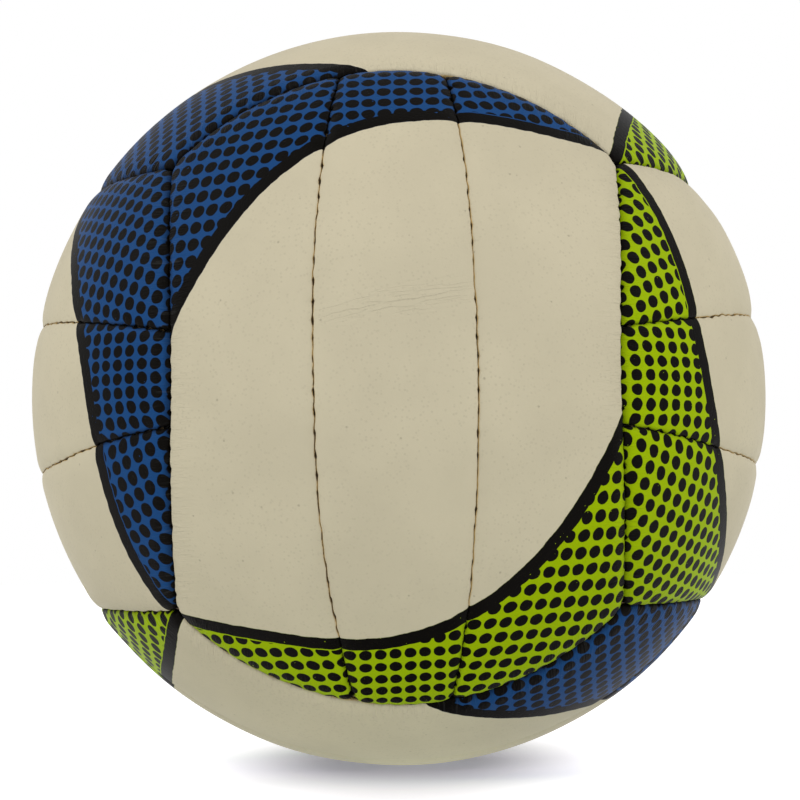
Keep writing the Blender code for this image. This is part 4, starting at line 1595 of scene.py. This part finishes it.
def shown_directly(tree):
    """Returns 1 for rays that show the background itself, straight or in a reflection or through glass."""
    path = add_node(tree, "ShaderNodeLightPath").outputs
    seen = maths(tree, "MAXIMUM", path["Is Camera Ray"], path["Is Glossy Ray"])
    return maths(tree, "MAXIMUM", seen, path["Is Transmission Ray"])


def add_white_room(scene, strength):
    world = bpy.data.worlds.new("white_room")
    world.use_nodes = True
    tree = world.node_tree
    background = tree.nodes["Background"]
    background.inputs["Color"].default_value = WHITE
    seen = shown_directly(tree)
    level = maths(tree, "MULTIPLY_ADD", seen, 1 - strength, strength)
    tree.links.new(level, background.inputs["Strength"])
    scene.world = world


def add_floor(scene, settings, radius):
    sheet = bmesh.new()
    bmesh.ops.create_grid(sheet, x_segments=1, y_segments=1, size=FLOOR_SIZE / 2)
    mesh = bpy.data.meshes.new("floor")
    sheet.to_mesh(mesh)
    sheet.free()
    made, tree, shader = new_material("pale_floor")
    tree.nodes.remove(shader)
    seen = shown_directly(tree)
    place = object_coordinates(tree)
    share = maths(tree, "DIVIDE", vector_length(tree, place), CONTACT_REACH)
    contact = maths(tree, "EXPONENT", maths(tree, "MULTIPLY", maths(tree, "MULTIPLY", share, share), -1.0))
    seen_colour = mixed(tree, contact, FLOOR_FAR_COLOUR, FLOOR_NEAR_COLOUR)
    floor_colour = mixed(tree, seen, opaque(settings.floor), seen_colour)
    matt = add_node(tree, "ShaderNodeBsdfDiffuse", {"Color": floor_colour})
    # Painted light: the floor glows towards the ball in place of bounced light, most close under the ball
    bounce_glow = maths(tree, "MULTIPLY_ADD", contact, CONTACT_BOUNCE_GLOW, FLOOR_BOUNCE_GLOW)
    off_shadow = mapped(tree, place, Location=FLOOR_WHITE_SHIFT, Scale=FLOOR_WHITE_SHAPE)
    past_shadow = vector_length(tree, off_shadow)
    white = maths(tree, "MULTIPLY", smooth_step(tree, past_shadow, *FLOOR_WHITE_REACH), FLOOR_WHITE_GLOW)
    strength = mixed_values(tree, seen, bounce_glow, white)
    glow_colour = mixed(tree, seen, FLOOR_BOUNCE_GLOW_COLOUR, WHITE)
    glow = add_node(tree, "ShaderNodeEmission", {"Color": glow_colour, "Strength": strength})
    both = add_node(tree, "ShaderNodeAddShader", {0: matt.outputs["BSDF"], 1: glow.outputs["Emission"]})
    tree.links.new(both.outputs["Shader"], tree.nodes["Material Output"].inputs["Surface"])
    mesh.materials.append(made)
    floor = bpy.data.objects.new("floor", mesh)
    floor.location.z = -radius
    scene.collection.objects.link(floor)
    floor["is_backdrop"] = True


class VOLLEYBALL_OT_stage(bpy.types.Operator):
    """Adds the floor, the white room, the soft lights and the camera"""

    bl_idname = "volleyball.add_stage"
    bl_label = "Stage"

    def execute(self, context):
        scene = context.scene
        settings = scene.volleyball_stage
        radius = scene.volleyball_sizes.radius
        scene.view_settings.view_transform = "Standard"
        add_floor(scene, settings, radius)
        add_white_room(scene, settings.sky_strength)
        add_soft_light(scene, "left_light", settings.side_power, LEFT_LIGHT_PLACE)
        add_soft_light(scene, "right_light", settings.side_power, RIGHT_LIGHT_PLACE)
        add_soft_light(scene, "front_light", settings.front_power, FRONT_LIGHT_PLACE)
        add_camera(scene, settings, radius)
        return {"FINISHED"}


class VOLLEYBALL_PT_panel(bpy.types.Panel):
    """Lists the pieces of the ball"""

    bl_idname = "VIEW3D_PT_volleyball"
    bl_label = "Volleyball"
    bl_space_type = "VIEW_3D"
    bl_region_type = "UI"
    bl_category = "Volleyball"

    def draw(self, context):
        for operator in OPERATORS:
            self.layout.operator(operator.bl_idname)


OPERATORS = (
    VOLLEYBALL_OT_stage,
    VOLLEYBALL_OT_covers,
    VOLLEYBALL_OT_linings,
    VOLLEYBALL_OT_stitching,
    VOLLEYBALL_OT_bladder,
    VOLLEYBALL_OT_valve,
)
SETTINGS = {
    "volleyball_sizes": VolleyballSizes,
    "volleyball_print": VolleyballPrint,
    "volleyball_colours": VolleyballColours,
    "volleyball_stage": VolleyballStage,
}


def register():
    for made in (*SETTINGS.values(), *OPERATORS, VOLLEYBALL_PT_panel):
        bpy.utils.register_class(made)
    for name, group in SETTINGS.items():
        setattr(bpy.types.Scene, name, bpy.props.PointerProperty(type=group))


def unregister():
    for name in SETTINGS:
        delattr(bpy.types.Scene, name)
    for made in reversed((*SETTINGS.values(), *OPERATORS, VOLLEYBALL_PT_panel)):
        bpy.utils.unregister_class(made)


def main():
    register()
    bpy.ops.volleyball.add_stage()
    bpy.ops.volleyball.add_covers()
    bpy.ops.volleyball.add_linings()
    bpy.ops.volleyball.add_stitching()
    bpy.ops.volleyball.add_bladder()
    bpy.ops.volleyball.add_valve()
    boxes = {"cad": CAD_BOX, "visual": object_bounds()}
    {name: [list(corner) for corner in box] for name, box in boxes.items()}


if __name__ == "__main__":
    main()
